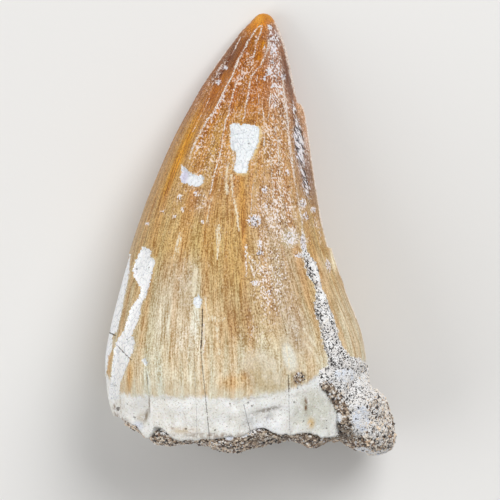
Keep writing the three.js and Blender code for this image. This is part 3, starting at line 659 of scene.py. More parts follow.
def add_values(mesh, values):
    """Stores values per point on a mesh: numbers, vectors where the name starts with flow, or colours."""
    for name, value in values.items():
        value = np.asarray(value, np.float32)
        if value.ndim == 1:
            mesh.attributes.new(name, "FLOAT", "POINT").data.foreach_set("value", value)
        elif name.startswith("flow"):
            mesh.attributes.new(name, "FLOAT_VECTOR", "POINT").data.foreach_set("vector", value.ravel())
        else:
            rgba = np.concatenate([value, np.ones((len(value), 1), np.float32)], 1)
            mesh.attributes.new(name, "FLOAT_COLOR", "POINT").data.foreach_set("color", rgba.ravel())


left_edge = smooth(LEFT_EDGE, from_tip)
right_edge = smooth(RIGHT_EDGE, from_tip)
top_line = smooth(TOP_LINE, from_tip)
keel_line = smooth(KEEL_LINE, from_tip)
back_line = smooth(BACK_LINE, from_tip)
front_power = smooth(FRONT_POWER)
back_power = smooth(BACK_POWER)


def crown_skin(depth, angle):
    """The skin of the tooth, without its fine relief, for a depth below the tip and an angle round the section.

    Across, it is the middle of the two side outlines plus half their distance times the cosine. In height,
    it is the keel plus the rise to the top or fall to the back, times a power of the sine. Ridges are
    e to the minus squared distance from their lines, and swells are sine waves that grow in over 8 mm.
    """
    left, right, keel = left_edge(depth), right_edge(depth), keel_line(depth)
    upper = np.sin(angle) >= 0
    steep = np.abs(np.sin(angle))
    reach = np.where(upper, top_line(depth) - keel, back_line(depth) - keel)
    power = np.where(upper, front_power(depth), back_power(depth))
    turn = np.arctan2(np.sin(angle), np.cos(angle))
    keys, heights = np.transpose(CUTTING_EDGE)
    flange = np.interp(depth, keys, heights) * np.exp(-((turn / EDGE_SPREAD) ** 2))
    x = (left + right) / 2 + (right - left) / 2 * np.cos(angle) + flange
    y = TIP_Y - depth
    z = keel + reach * steep**power
    p = np.stack([x, y, z], -1)
    relief = sum(h * np.exp(-((line_distance([line], x, y) / w) ** 2)) for h, w, line in RIDGES)
    swell = UNEVEN_HEIGHT * swells(p, UNEVEN_SIZE) * np.minimum(depth / 8, 1)
    p[..., 2] += steep * np.where(upper, relief + swell, -swell)
    return p


def rim_depth(angle):
    """Depth at which the tooth ends: its ragged lower rim, plus random nicks."""
    p = crown_skin(np.full_like(angle, LAST_DEPTH - 1.5), angle)
    rim = np.where(np.sin(angle) >= 0, smooth(FRONT_RIM)(p[..., 0]), smooth(BACK_RIM)(p[..., 0]))
    return TIP_Y - rim + 0.12 * lumps(p, 0.8, 3) + 0.1 * lumps(p, 0.35, 4)


def section(x, depth, margin=0.0):
    """Place across the section, from -1 to 1, and the heights of its keel, top and back there.

    It is that of `crown_skin` without ridges and swells, grown by the margin.
    """
    left, right, keel = left_edge(depth) - margin, right_edge(depth) + margin, keel_line(depth)
    across = np.clip((2 * x - left - right) / (right - left), -1, 1)
    steep = np.sqrt(1 - across**2)
    top = keel + (top_line(depth) - keel) * steep ** front_power(depth) + margin
    back = keel + (back_line(depth) - keel) * steep ** back_power(depth) - margin
    return across, keel, top, back


def inside_crown(p, margin=0.0):
    """Whether points lie inside the unbroken crown, or within `margin` outside it."""
    x, y, z = p[..., 0], p[..., 1], p[..., 2]
    depth = TIP_Y - y
    across, keel, top, back = section(x, depth, margin)
    rim = np.where(z > keel, smooth(FRONT_RIM)(x), smooth(BACK_RIM)(x))
    return (np.abs(across) < 1) & (z < top) & (z > back) & (y > rim - margin) & (depth > -margin)


def tube_faces(rows, columns):
    """Quads between the rows of a closed tube, and fans of triangles to one point at either end.

    The first end's point is number 0, the rows follow it, and the other end's point is the last.
    """
    column = np.arange(columns)
    beside = (column + 1) % columns
    start = 1 + np.arange(rows - 1)[:, None] * columns
    quads = np.stack([start + column, start + beside, start + columns + beside, start + columns + column], -1)
    last = 1 + (rows - 1) * columns
    fans = [
        np.stack([np.zeros(columns, int), 1 + beside, 1 + column], -1),
        np.stack([np.full(columns, last + columns), last + column, last + beside], -1),
    ]
    return quads.reshape(-1, 4), np.concatenate(fans)


def outward(p):
    """Unit normals of a grid of points: the cross product of its steps along a row and down a column."""
    across = np.roll(p, -1, axis=1) - np.roll(p, 1, axis=1)
    down = np.gradient(p, axis=0)
    normal = np.cross(across, down)
    return normal / np.maximum(np.linalg.norm(normal, axis=-1, keepdims=True), 1e-12)


# ------------------------------------------------------------------ materials

# A MapRange node takes a value, the two ends of its range and, unless they are 0 and 1, the results for those.


def add(tree, kind, *values, **named):
    """Adds a shader node and returns its first output.

    Plain values go to its sockets in order, and named ones with a capital to the socket of that name. Other
    named values are the node's settings. A value is a number, a colour without alpha or another node's output.
    """
    node = tree.nodes.new("ShaderNode" + kind)
    for name, value in named.items():
        if name[0].islower():
            setattr(node, name, value)
    sockets = [s for s in node.inputs if s.enabled]
    by_name = {s.name: s for s in sockets}
    capitals = [(by_name[name.replace("_", " ")], value) for name, value in named.items() if name[0].isupper()]
    for socket, value in [*zip(sockets, values), *capitals]:
        if isinstance(value, bpy.types.NodeSocket):
            tree.links.new(value, socket)
        elif socket.type == "RGBA":
            socket.default_value = (*value, 1)
        else:
            socket.default_value = value
    return next((s for s in node.outputs if s.enabled), None)


def new_material(name):
    """An empty material, the function that adds nodes to it, and its Object coordinates in millimetres."""
    material = bpy.data.materials.new(name)
    material.use_nodes = True
    material.node_tree.nodes.clear()
    node = functools.partial(add, material.node_tree)
    place = node("Mapping", node("TexCoord").node.outputs["Object"], Scale=(1000, 1000, 1000))
    return material, node, place


# What the enamel's material reads from the mesh as numbers.
TOOTH_VALUES = (
    "flake", "crest", "edge", "streak", "crack", "crack_dark", "band", "frost", "flute", "veil", "halo", "stain",
    "pore", "rock",
)  # fmt: skip
# Patterns of the enamel: what they follow, the size of a blob in millimetres along three axes, detail, roughness.
# Ribs are as far apart as on a real tooth. Real grains of mineral and grit, a few hundredths of a millimetre
# across, are too fine to show, so they are drawn several times coarser.
ENAMEL_PATTERNS = {
    "broad_ribs": ("flow", (1.0, 1.0, 14.0), 2, 0.5),
    "ribs": ("flow", (0.35, 0.35, 3.0), 3, 0.6),
    "fine_ribs": ("flow", (0.12, 0.12, 1.6), 2, 0.6),
    "grain": ("place", (0.13, 0.19, 0.13), 1, 0.6),
    "speck": ("place", (0.15, 0.27, 0.15), 1, 0.5),
    "clump": ("place", (0.8, 1.3, 0.8), 3, 0.6),
    "grit": ("place", (0.15, 0.17, 0.15), 1, 0.5),
    "crust": ("place", (0.5, 0.65, 0.5), 4, 0.7),
    "ragged": ("place", (0.4, 0.4, 0.4), 4, 0.7),
    "mottle": ("place", (1.7, 2.2, 1.7), 4, 0.6),
}
PIT_SHADE = (0.4, 0.27, 0.2)  # factor that darkens the pits of frosted enamel


def enamel_material(look):
    """Fossil enamel, ribbed along the tooth, over chalky dentine and the cement of the root.

    Whole enamel is glassy amber and gives a satin sheen along its ribs, which painted highlight on their crowns adds
    to. Burial has frosted it with fine pinkish mineral, which is dull. Flakes and cement are matt and nearly white,
    like chalk.
    """
    material, node, place = new_material("fossil_enamel_weathered")
    flow = node("Attribute", attribute_name="flow").node.outputs["Vector"]
    value = {name: node("Attribute", attribute_name=name).node.outputs["Fac"] for name in TOOTH_VALUES}
    value.update({name: node("Attribute", attribute_name=name) for name in ("tint", "under")})
    value["place"] = place
    value["frosted"] = node("MapRange", value["frost"], 0.1, 0.9)
    value["paleness"] = node("SeparateColor", value["tint"]).node.outputs["Blue"]
    follows = {"flow": flow, "place": place}
    noise = {
        name: node(
            "TexNoise", node("Mapping", follows[what], Scale=[1 / s for s in size]), Scale=1, Detail=detail,
            Roughness=rough)
        for name, (what, size, detail, rough) in ENAMEL_PATTERNS.items()
    }  # fmt: skip

    # The layers of the colour, from the bottom up.
    colour, crown, ribs = rib_layer(node, noise, value, look)
    colour = veil_layer(node, noise, value, look, colour)
    colour, speck, pit = frost_layer(node, noise, value, look, colour, crown)
    colour, crust = crust_layer(node, noise, value, look, colour)
    colour, stroke = flute_layer(node, value, look, colour)
    colour, crest = crest_layer(node, noise, value, look, colour)
    colour, cement = cement_layer(node, noise, value, look, colour)
    colour, flake, net = flake_layer(node, noise, value, look, colour, cement)
    pale = node("Math", cement, flake, operation="MAXIMUM")
    colour, gap = dirt_layer(node, noise, value, look, colour, pale)

    # Whole enamel has a gloss, and what is chalky, crusted or specked has none.
    dull = node("Math", node("Math", pale, crust, operation="MAXIMUM"), speck, operation="MAXIMUM")
    roughness = node("MapRange", dull, 0.0, 1.0, 0.28, 0.8)
    # Height in millimetres that each of them adds.
    height = node("Math", ribs, 0.12, 0.0, operation="MULTIPLY_ADD")
    lifts = (
        (speck, 0.03), (crust, 0.06), (crest, 0.04), (noise["grit"], 0.02), (noise["crust"], 0.08), (pit, -0.04),
        (gap, -0.1), (net, -0.02), (stroke, 0.05),
    )  # fmt: skip
    for part, lift in lifts:
        height = node("Math", part, lift, height, operation="MULTIPLY_ADD")
    bump = node("Bump", Strength=1.0, Distance=MM, Height=height)
    shader = node(
        "BsdfPrincipled", Base_Color=colour, Roughness=roughness, IOR=1.6, Specular_IOR_Level=0.15, Normal=bump,
        Subsurface_Weight=0.05, Subsurface_Radius=(1.0, 0.55, 0.3), Subsurface_Scale=0.5 * MM)  # fmt: skip
    node("OutputMaterial", Surface=shader)
    return material


def rib_layer(node, noise, value, look):
    """Enamel in its own colour, darkened with painted shade and lightened with painted highlight, along its ribs
    where it is calm and along a coarser grain where it is frosted.

    Returns the colour, the colour of the ribs' crowns with their painted highlight, and the height of the ribs.
    """
    calm = node("Math", noise["ribs"], 0.3, 0.0, operation="MULTIPLY_ADD")
    calm = node("Math", noise["fine_ribs"], 0.4, calm, operation="MULTIPLY_ADD")
    calm = node("Math", noise["grain"], 0.3, calm, operation="MULTIPLY_ADD")
    busy = node("Math", noise["grain"], 0.45, 0.0, operation="MULTIPLY_ADD")
    busy = node("Math", noise["fine_ribs"], 0.35, busy, operation="MULTIPLY_ADD")
    busy = node("Math", noise["clump"], 0.2, busy, operation="MULTIPLY_ADD")
    ribs = node("Mix", value["frosted"], calm, busy, data_type="FLOAT")
    # The paler or glassier the enamel, the softer the step from the painted shade of a valley to the painted
    # highlight of a crown.
    glass = node("MapRange", value["frost"], 0.08, 0.0, 0.0, 0.15)
    spread = node("MapRange", value["paleness"], 0.05, 0.45, 0.09, 0.18)
    spread = node("Math", spread, glass)
    low = node("Math", 0.5, spread, operation="SUBTRACT")
    high = node("Math", 0.5, spread, operation="ADD")
    lit = node("MapRange", ribs, low, high, interpolation_type="SMOOTHSTEP")
    # Shaded and lit copies of the tint: painted shade in the valleys, painted highlight on the crowns.
    shade = np.array(look.rib_valley_shade)
    valley = node("Mix", 1.0, value["tint"], shade, data_type="RGBA", blend_type="MULTIPLY")
    crown = node("Mix", 1.0, value["tint"], 2 - shade, data_type="RGBA", blend_type="MULTIPLY")
    colour = node("Mix", lit, valley, crown, data_type="RGBA")
    # Broad ribs make it redder or paler.
    wide = node("MapRange", noise["broad_ribs"], 0.35, 0.65, 0.87, 1.13)
    wide = node("CombineColor", 1.0, wide, node("Math", wide, wide, operation="MULTIPLY"))
    return node("Mix", 0.8, colour, wide, data_type="RGBA", blend_type="MULTIPLY"), crown, ribs


def veil_layer(node, noise, value, look, colour):
    """Pale dusty veils: mottled where they are thin, and palest where they are thickest."""
    veil = node("Math", noise["clump"], 0.9, value["veil"], operation="MULTIPLY_ADD")
    veil = node("Math", noise["fine_ribs"], 0.5, veil, operation="MULTIPLY_ADD")
    veil = node("MapRange", veil, 0.9, 1.7, 0.0, 0.8, interpolation_type="SMOOTHSTEP")
    mottled = node("MapRange", noise["mottle"], 0.36, 0.6, interpolation_type="SMOOTHSTEP")
    dusty = node("Mix", mottled, look.veil_shade, look.veil, data_type="RGBA")
    thickest = node("MapRange", value["veil"], 0.95, 1.7)
    dusty = node("Mix", thickest, dusty, look.veil_light, data_type="RGBA")
    bright = node("MapRange", noise["grain"], 0.35, 0.65, 0.88, 1.1)
    bright = node("CombineColor", bright, bright, bright)
    dusty = node("Mix", 1.0, dusty, bright, data_type="RGBA", blend_type="MULTIPLY")
    return node("Mix", veil, colour, dusty, data_type="RGBA")


def frost_layer(node, noise, value, look, colour, crown):
    """Specks and dots of pinkish mineral in clumps, with dark pits between them.

    Returns the colour, the specks and the pits.
    """
    scatter = node("Math", noise["clump"], 0.4, noise["speck"], operation="MULTIPLY_ADD")
    need = node("MapRange", value["frost"], 0.1, 1.3, 0.92, 0.66)
    speck = node("Math", scatter, need, operation="SUBTRACT")
    speck = node("MapRange", speck, 0.0, 0.05, interpolation_type="SMOOTHSTEP")
    # Dots lie in about half of the Voronoi cells, which are a third of a millimetre across.
    cells = node("TexVoronoi", Vector=node("Mapping", value["place"], Scale=(1, 0.7, 1)), Scale=1 / 0.33)
    chance = node("SeparateColor", cells.node.outputs["Color"])
    dot = node("MapRange", chance, 0.45, 1.0, 0.0, 0.36)
    dot = node("Math", dot, cells, operation="SUBTRACT")
    dot = node("MapRange", dot, 0.0, 0.06)
    speck = node("Math", speck, dot, operation="MAXIMUM")
    white = node("MapRange", value["frost"], 0.15, 0.9, 0.2, 0.95)
    speck = node("Math", speck, white, operation="MULTIPLY")
    hole = node("Math", noise["clump"], 0.5, noise["grain"], operation="MULTIPLY_ADD")
    need = node("MapRange", value["frost"], 0.3, 1.4, 0.45, 0.7)
    pit = node("Math", need, hole, operation="SUBTRACT")
    pit = node("MapRange", pit, 0.0, 0.05, 0.0, 0.75, interpolation_type="SMOOTHSTEP")
    deep = node("Mix", 1.0, value["tint"], PIT_SHADE, data_type="RGBA", blend_type="MULTIPLY")
    colour = node("Mix", pit, colour, deep, data_type="RGBA")
    # Dark enamel shows through thin specks, pale enamel doesn't.
    whiter = node("MapRange", value["paleness"], 0.04, 0.2, 0.68, 1.0)
    pink = node("Math", value["frosted"], whiter, operation="MULTIPLY")
    pink = node("Mix", pink, crown, look.speck, data_type="RGBA")
    thick = node("MapRange", value["frost"], 0.95, 1.25)
    pink = node("Mix", thick, pink, look.mineral, data_type="RGBA")
    return node("Mix", speck, colour, pink, data_type="RGBA"), speck, pit


def crust_layer(node, noise, value, look, colour):
    """Thicker crusts of mineral, with dark dirt in them. Returns the colour and the crusts."""
    need = node("Math", value["frost"], -0.28, 1.0, operation="MULTIPLY_ADD")
    crust = node("Math", noise["crust"], need, operation="SUBTRACT")
    crust = node("Math", noise["grit"], 0.25, crust, operation="MULTIPLY_ADD")
    crust = node("MapRange", crust, 0.125, 0.155, 0.0, 0.95, interpolation_type="SMOOTHSTEP")
    dirt = node("MapRange", noise["grit"], 0.45, 0.38, 0.0, 0.9, interpolation_type="SMOOTHSTEP")
    mineral = node("Mix", dirt, look.mineral, look.mineral_dirt, data_type="RGBA")
    return node("Mix", crust, colour, mineral, data_type="RGBA"), crust


def flute_layer(node, value, look, colour):
    """White mineral and black dirt in slanting strokes along the flute. Returns the colour and the white strokes."""
    slant = node("Mapping", value["place"], Rotation=(0, 0, 0.5), Scale=(0.17, 0.8, 0.4), vector_type="TEXTURE")
    slant = node("TexNoise", slant, Scale=1, Detail=3.0, Roughness=0.75)
    stroke = node("Math", value["flute"], 0.3, slant, operation="MULTIPLY_ADD")
    stroke = node("MapRange", stroke, 0.925, 0.965, 0.0, 0.96, interpolation_type="SMOOTHSTEP")
    dirt = node("Math", value["flute"], -0.3, slant, operation="MULTIPLY_ADD")
    dirt = node("MapRange", dirt, 0.04, 0.0, 0.0, 0.9, interpolation_type="SMOOTHSTEP")
    colour = node("Mix", dirt, colour, look.flute_dirt, data_type="RGBA")
    return node("Mix", stroke, colour, look.mineral, data_type="RGBA"), stroke


def crest_layer(node, noise, value, look, colour):
    """Worn crests of the ridges, pale lines along both sides and faint streaks, which grit breaks up into dots. The
    side lines are worn cutting edges and painted rim highlight in one.

    Returns the colour and the crests.
    """
    dots = node("MapRange", noise["grit"], 0.42, 0.54, 0.15, 1.0, interpolation_type="SMOOTHSTEP")
    crest = node("Math", noise["speck"], 3.0, value["crest"], operation="MULTIPLY_ADD")
    crest = node("Math", noise["clump"], 2.0, crest, operation="MULTIPLY_ADD")
    crest = node("MapRange", crest, 3.7, 3.0, interpolation_type="SMOOTHSTEP")
    # The pale line along both sides: worn cutting edge and painted rim highlight in one.
    edge = node("Math", noise["ragged"], 3.0, value["edge"], operation="MULTIPLY_ADD")
    edge = node("MapRange", edge, 2.7, 1.9, interpolation_type="SMOOTHSTEP")
    crest = node("Math", crest, dots, operation="MULTIPLY")
    solid = node("MapRange", dots, 0.0, 1.0, 0.5, 1.0)
    crest = node("Math", crest, node("Math", edge, solid, operation="MULTIPLY"), operation="MAXIMUM")
    colour = node("Mix", crest, colour, look.crest, data_type="RGBA")
    streak = node("Math", noise["fine_ribs"], 0.7, value["streak"], operation="MULTIPLY_ADD")
    streak = node("Math", noise["speck"], 0.5, streak, operation="MULTIPLY_ADD")
    streak = node("MapRange", streak, 0.74, 0.56, 0.0, 0.9, interpolation_type="SMOOTHSTEP")
    return node("Mix", streak, colour, look.streak, data_type="RGBA"), crest


def cement_layer(node, noise, value, look, colour):
    """Cement of the root: off-white, mottled, with fine grit. Returns the colour and where the cement is."""
    band = node("Math", noise["ragged"], 0.6, value["band"], operation="MULTIPLY_ADD")
    band = node("Math", noise["ribs"], 0.9, band, operation="MULTIPLY_ADD")
    band = node("Math", noise["clump"], 0.6, band, operation="MULTIPLY_ADD")
    cement = node("MapRange", band, 1.35, 0.82, interpolation_type="SMOOTHSTEP")
    blotch = node("MapRange", noise["mottle"], 0.38, 0.62, interpolation_type="SMOOTHSTEP")
    root = node("Mix", 1.0, value["under"], look.cement_shade, data_type="RGBA", blend_type="MULTIPLY")
    root = node("Mix", blotch, root, value["under"], data_type="RGBA")
    fleck = node("MapRange", noise["crust"], 0.52, 0.6, 0.0, 0.6, interpolation_type="SMOOTHSTEP")
    root = node("Mix", fleck, root, look.cement_light, data_type="RGBA")
    dust = node("MapRange", noise["grit"], 0.4, 0.32, 0.0, 0.35, interpolation_type="SMOOTHSTEP")
    root = node("Mix", dust, root, look.stain, data_type="RGBA")
    return node("Mix", cement, colour, root, data_type="RGBA"), cement


def flake_layer(node, noise, value, look, colour, cement):
    """Flakes: chalky dentine with grey marks and hairlines, and here and there a rim of thin yellow enamel.

    Returns the colour, where the flakes are and the net of hairlines.
    """
    flake = node("Math", noise["ragged"], 0.35, value["flake"], operation="MULTIPLY_ADD")
    flake = node("Math", noise["grit"], 0.35, flake, operation="MULTIPLY_ADD")
    rim = node("MapRange", flake, 0.65, 0.4, interpolation_type="SMOOTHSTEP")
    some = node("MapRange", value["halo"], 0.2, 0.9, 0.1, 0.85)
    rim = node("Math", rim, some, operation="MULTIPLY")
    rim = node("Math", rim, node("Math", 1.0, cement, operation="SUBTRACT"), operation="MULTIPLY")
    colour = node("Mix", rim, colour, look.halo, data_type="RGBA")
    flake = node("MapRange", flake, 0.37, 0.33, interpolation_type="SMOOTHSTEP")
    mark = node("MapRange", noise["speck"], 0.45, 0.34, 0.0, 0.6, interpolation_type="SMOOTHSTEP")
    # The hairlines are the borders of Voronoi cells about a millimetre across.
    net = node("Mapping", value["place"], Rotation=(0, 0, 0.6), Scale=(1.3, 0.8, 1))
    net = node("TexVoronoi", net, Scale=1, feature="DISTANCE_TO_EDGE")
    net = node("MapRange", net, 0.035, 0.012, 0.0, 0.5, interpolation_type="SMOOTHSTEP")
    mark = node("Math", mark, net, operation="MAXIMUM")
    chalk = node("Mix", mark, value["under"], look.chalk_shade, data_type="RGBA")
    return node("Mix", flake, colour, chalk, data_type="RGBA"), flake, net


def dirt_layer(node, noise, value, look, colour, pale):
    """Dust of the rock beside it, pores and cracks with dirt in them, and brown stains.

    Returns the colour, and the pores and cracks.
    """
    near = node("Math", noise["ragged"], 1.0, value["rock"], operation="MULTIPLY_ADD")
    near = node("MapRange", near, 0.65, 0.45, interpolation_type="SMOOTHSTEP")
    grains = node("MapRange", noise["grit"], 0.42, 0.48, interpolation_type="SMOOTHSTEP")
    dusty = node("Mix", grains, look.mineral_dirt, look.cement_light, data_type="RGBA")
    colour = node("Mix", near, colour, dusty, data_type="RGBA")
    # A pore in some Voronoi cells 0.8 mm across, where the ground is chalky, and those with a place of their own.
    cells = node("TexVoronoi", Vector=value["place"], Scale=1 / 0.8)
    pore = node("MapRange", cells, 0.15, 0.08, 0.0, 0.6, interpolation_type="SMOOTHSTEP")
    rare = node("MapRange", noise["mottle"], 0.5, 0.55, interpolation_type="SMOOTHSTEP")
    pore = node("Math", pore, rare, operation="MULTIPLY")
    own = node("Math", noise["grit"], 0.15, value["pore"], operation="MULTIPLY_ADD")
    own = node("MapRange", own, 0.09, 0.04, 0.0, 0.75, interpolation_type="SMOOTHSTEP")
    pore = node("Math", node("Math", pore, own, operation="MAXIMUM"), pale, operation="MULTIPLY")
    crack = node("Math", value["crack"], operation="ABSOLUTE")
    crack = node("Math", noise["grit"], 0.12, crack, operation="MULTIPLY_ADD")
    crack = node("MapRange", crack, 0.11, 0.065, 0.0, 0.95, interpolation_type="SMOOTHSTEP")
    crack = node("Math", crack, value["crack_dark"], operation="MULTIPLY")
    gap = node("Math", pore, crack, operation="MAXIMUM")
    colour = node("Mix", gap, colour, look.crack, data_type="RGBA")
    uneven = node("MapRange", noise["crust"], 0.38, 0.6, interpolation_type="SMOOTHSTEP")
    stain = node("Math", value["stain"], uneven, operation="MULTIPLY")
    return node("Mix", stain, colour, look.stain, data_type="RGBA"), gap


# Patterns of the rock: size of a blob in millimetres, detail, roughness. The grains have their real size. Real
# dust is too fine to show, so it is drawn about 0.1 mm across.
ROCK_PATTERNS = {
    "ragged": (0.8, 4, 0.6),
    "clump": (0.7, 2, 0.5),
    "pepper": (0.17, 1, 0.5),
    "dust": (0.12, 1, 0.5),
    "mottle": (1.1, 3, 0.5),
}
# Colours of the sand of weathered rock, and where the share of each begins.
SAND_RAMP = (
    (0.0, "352b24"), (0.18, "60503f"), (0.42, "8a7664"), (0.63, "b5a08a"), (0.81, "dccfbd"), (0.94, "f5efe8"),
)  # fmt: skip


def rock_material(look):
    """Phosphate sandstone, broken by hand: rough all over, so it never shines.

    Where it is fresh it is chalk-white and peppered with dark phosphate grains. Where it has weathered it is
    brown and open-grained.
    """
    material, node, place = new_material("phosphate_sandstone_broken")
    value = {
        name: node("Attribute", attribute_name=name).node.outputs["Fac"] for name in ("brown", "chalky", "pepper")
    }
    noise = {
        name: node("TexNoise", Vector=place, Scale=1 / size, Detail=detail, Roughness=rough)
        for name, (size, detail, rough) in ROCK_PATTERNS.items()
    }

    # Chalk-white where it is fresh, with mottles and smooth bluish places.
    shade = node("MapRange", noise["mottle"], 0.4, 0.6, interpolation_type="SMOOTHSTEP")
    pale = node("Mix", shade, look.pale_shade, look.pale, data_type="RGBA")
    smooth_chalk = node("Math", noise["ragged"], 0.6, value["chalky"], operation="MULTIPLY_ADD")
    smooth_chalk = node("MapRange", smooth_chalk, 0.68, 0.82, interpolation_type="SMOOTHSTEP")
    mottled = node("MapRange", noise["clump"], 0.42, 0.6, 0.0, 0.85, interpolation_type="SMOOTHSTEP")
    bluish = node("Mix", mottled, look.chalky, pale, data_type="RGBA")
    pale = node("Mix", smooth_chalk, pale, bluish, data_type="RGBA")
    # Grey grit and dark grains in clumps.
    density = node("Math", noise["clump"], 3.0, value["pepper"], operation="MULTIPLY_ADD")
    density = node("Math", density, 1.72, operation="SUBTRACT")
    density = node("Math", smooth_chalk, -0.75, density, operation="MULTIPLY_ADD")
    few = node("Math", density, -0.08, noise["dust"], operation="MULTIPLY_ADD")
    grey = node("MapRange", few, 0.37, 0.31, 0.0, 0.7, interpolation_type="SMOOTHSTEP")
    pale = node("Mix", grey, pale, look.pale_grit, data_type="RGBA")
    few = node("Math", density, 0.1, noise["pepper"], operation="MULTIPLY_ADD")
    dark = node("MapRange", few, 0.64, 0.67, 0.0, 0.95, interpolation_type="SMOOTHSTEP")
    pale = node("Mix", dark, pale, look.pepper, data_type="RGBA")

    # Brown where it has weathered: each Voronoi cell is a grain 0.18 mm across with a colour of its own.
    cells = node("TexVoronoi", Vector=place, Scale=1 / 0.18)
    chance = node("SeparateColor", cells.node.outputs["Color"])
    sand = node("ValToRGB", chance)
    ramp = sand.node.color_ramp
    ramp.interpolation = "CONSTANT"
    for position, _ in SAND_RAMP[2:]:
        ramp.elements.new(position)
    for element, (position, code) in zip(ramp.elements, SAND_RAMP):
        element.position = position
        element.color = linear(code)
    border = node("Math", noise["ragged"], 0.5, value["brown"], operation="MULTIPLY_ADD")
    border = node("MapRange", border, 0.7, 0.8, interpolation_type="SMOOTHSTEP")
    colour = node("Mix", border, pale, sand, data_type="RGBA")
    height = node("Math", cells, -0.08, 0.0, operation="MULTIPLY_ADD")
    for part, lift in ((noise["pepper"], 0.05), (noise["dust"], 0.03)):
        height = node("Math", part, lift, height, operation="MULTIPLY_ADD")
    bump = node("Bump", Strength=1.0, Distance=MM, Height=height)
    shader = node("BsdfPrincipled", Base_Color=colour, Roughness=0.75, IOR=1.55, Normal=bump)
    node("OutputMaterial", Surface=shader)
    return material


def grain_material():
    """Loose sand of quartz, bone and phosphate, worn by water: each grain has its own colour and a small glint.

    Clouds 0.15 mm across, as wide as a small grain, make its sides uneven.
    """
    material, node, place = new_material("quartz_phosphate_sand_loose")
    tint = node("Attribute", attribute_name="tint")
    cloud = node("TexNoise", Vector=place, Scale=1 / 0.15, Detail=2.0)
    shade = node("MapRange", cloud, 0.3, 0.7, 0.75, 1.15)
    shade = node("CombineColor", shade, shade, shade)
    colour = node("Mix", 1.0, tint, shade, data_type="RGBA", blend_type="MULTIPLY")
    bump = node("Bump", Strength=0.6, Distance=0.05 * MM, Height=cloud)
    shader = node("BsdfPrincipled", Base_Color=colour, Roughness=0.36, IOR=1.55, Normal=bump)
    node("OutputMaterial", Surface=shader)
    return material


def floor_material(look):
    """Matt paper sweep: even and pale, with the faint tooth of pressed paper.

    Real paper fibres are too fine to show, so they are drawn half a millimetre across.
    """
    material, node, place = new_material("paper_sweep_matt")
    fibre = node("TexNoise", Vector=place, Scale=1 / 0.5, Detail=3.0)
    bump = node("Bump", Strength=0.3, Distance=0.02 * MM, Height=fibre)
    shader = node("BsdfPrincipled", Base_Color=look.floor, Roughness=0.9, Normal=bump)
    node("OutputMaterial", Surface=shader)
    return material


# ------------------------------------------------------------------ settings


def colour_property(name, description, code):
    """A colour that the user can change, given as an sRGB hex value."""
    return FloatVectorProperty(
        name=name, description=description, subtype="COLOR", size=3, min=0, max=1, default=linear(code)[:3])


def length_property(name, description, millimetres):
    """A length that the user can change, given in millimetres and kept in metres."""
    return FloatProperty(name=name, description=description, unit="LENGTH", precision=5, default=millimetres * MM)


class ToothSettings(bpy.types.PropertyGroup):
    """Sizes and colours of the tooth."""

    rows: IntProperty(name="Rows", description="Rows of points from the tip to the rim", default=228, min=20)
    front: IntProperty(name="Front columns", description="Columns over the upper face", default=318, min=20)
    back: IntProperty(name="Back columns", description="Columns over the underside", default=86, min=20)
    flake_depth: length_property("Flake depth", "Thickness of the enamel that has come off", 0.28)
    seam_depth: length_property("Crack depth", "Depth of the crack that the rock fills", 0.9)
    corner_depth: length_property("Corner depth", "Depth of the broken corner of the base", 2.2)
    # Painted shade between the ribs. Their crowns get the opposite factor, as painted highlight.
    rib_valley_shade: colour_property("Rib valley", "Factor that darkens the enamel between its ribs", "c8b184")
    veil: colour_property("Veil", "Pale dusty veils on the enamel", "ddd0b8")
    veil_shade: colour_property("Veil shade", "Their thinner places", "c6b28c")
    veil_light: colour_property("Veil light", "Their thickest places", "e6e5d9")
    speck: colour_property("Specks", "Fine pinkish mineral on the enamel", "fdf0e8")
    mineral: colour_property("Mineral", "Thicker crusts of mineral", "f6f1f5")
    mineral_dirt: colour_property("Mineral dirt", "Dark dirt in those crusts", "5d524d")
    flute_dirt: colour_property("Flute dirt", "Dark dirt in the flute", "3b3134")
    # Also the colour of the pale lines along both sides, which are worn edge and painted rim highlight in one.
    crest: colour_property("Crests", "Worn crests of the ridges", "fbf0e6")
    streak: colour_property("Streaks", "Pale streaks along the enamel", "efe4ca")
    cement_light: colour_property("Cement light", "Lighter flecks of the cement", "fcfbf9")
    cement_shade: colour_property("Cement shade", "Factor of the cement's darker mottles", "efede8")
    halo: colour_property("Halo", "Thin enamel round a flake", "ecd5a2")
    chalk_shade: colour_property("Chalk shade", "Grey marks on the dentine of a flake", "b9bec4")
    crack: colour_property("Cracks", "Dirt in cracks and pores", "4a3a2b")
    stain: colour_property("Stain", "Brown stain beside the rock", "80654a")


class RockSettings(bpy.types.PropertyGroup):
    """Sizes and colours of the rock and its grains."""

    fineness: length_property("Fineness", "Size of the rock's faces", 0.14)
    swell: length_property("Swell", "How far the rock closes the clearance of the solids", 0.12)
    pale: colour_property("Pale rock", "Chalky rock in the crack and corner", "fefefe")
    pale_shade: colour_property("Pale shade", "Its darker mottles", "f0edeb")
    pale_grit: colour_property("Pale grit", "Its grey grit", "807973")
    chalky: colour_property("Chalky rock", "Smooth bluish chalk in the corner", "e9eef8")
    pepper: colour_property("Pepper", "Dark grains in the pale rock", "1e1918")
    coarse_grains: IntProperty(name="Coarse grains", description="Number of larger grains", default=9000, min=1)
    fine_grains: IntProperty(name="Fine grains", description="Number of smaller grains", default=9600, min=1)
    coarse: length_property("Coarse grain", "Middle diameter of a larger grain", 0.23)
    fine: length_property("Fine grain", "Middle diameter of a smaller grain", 0.15)


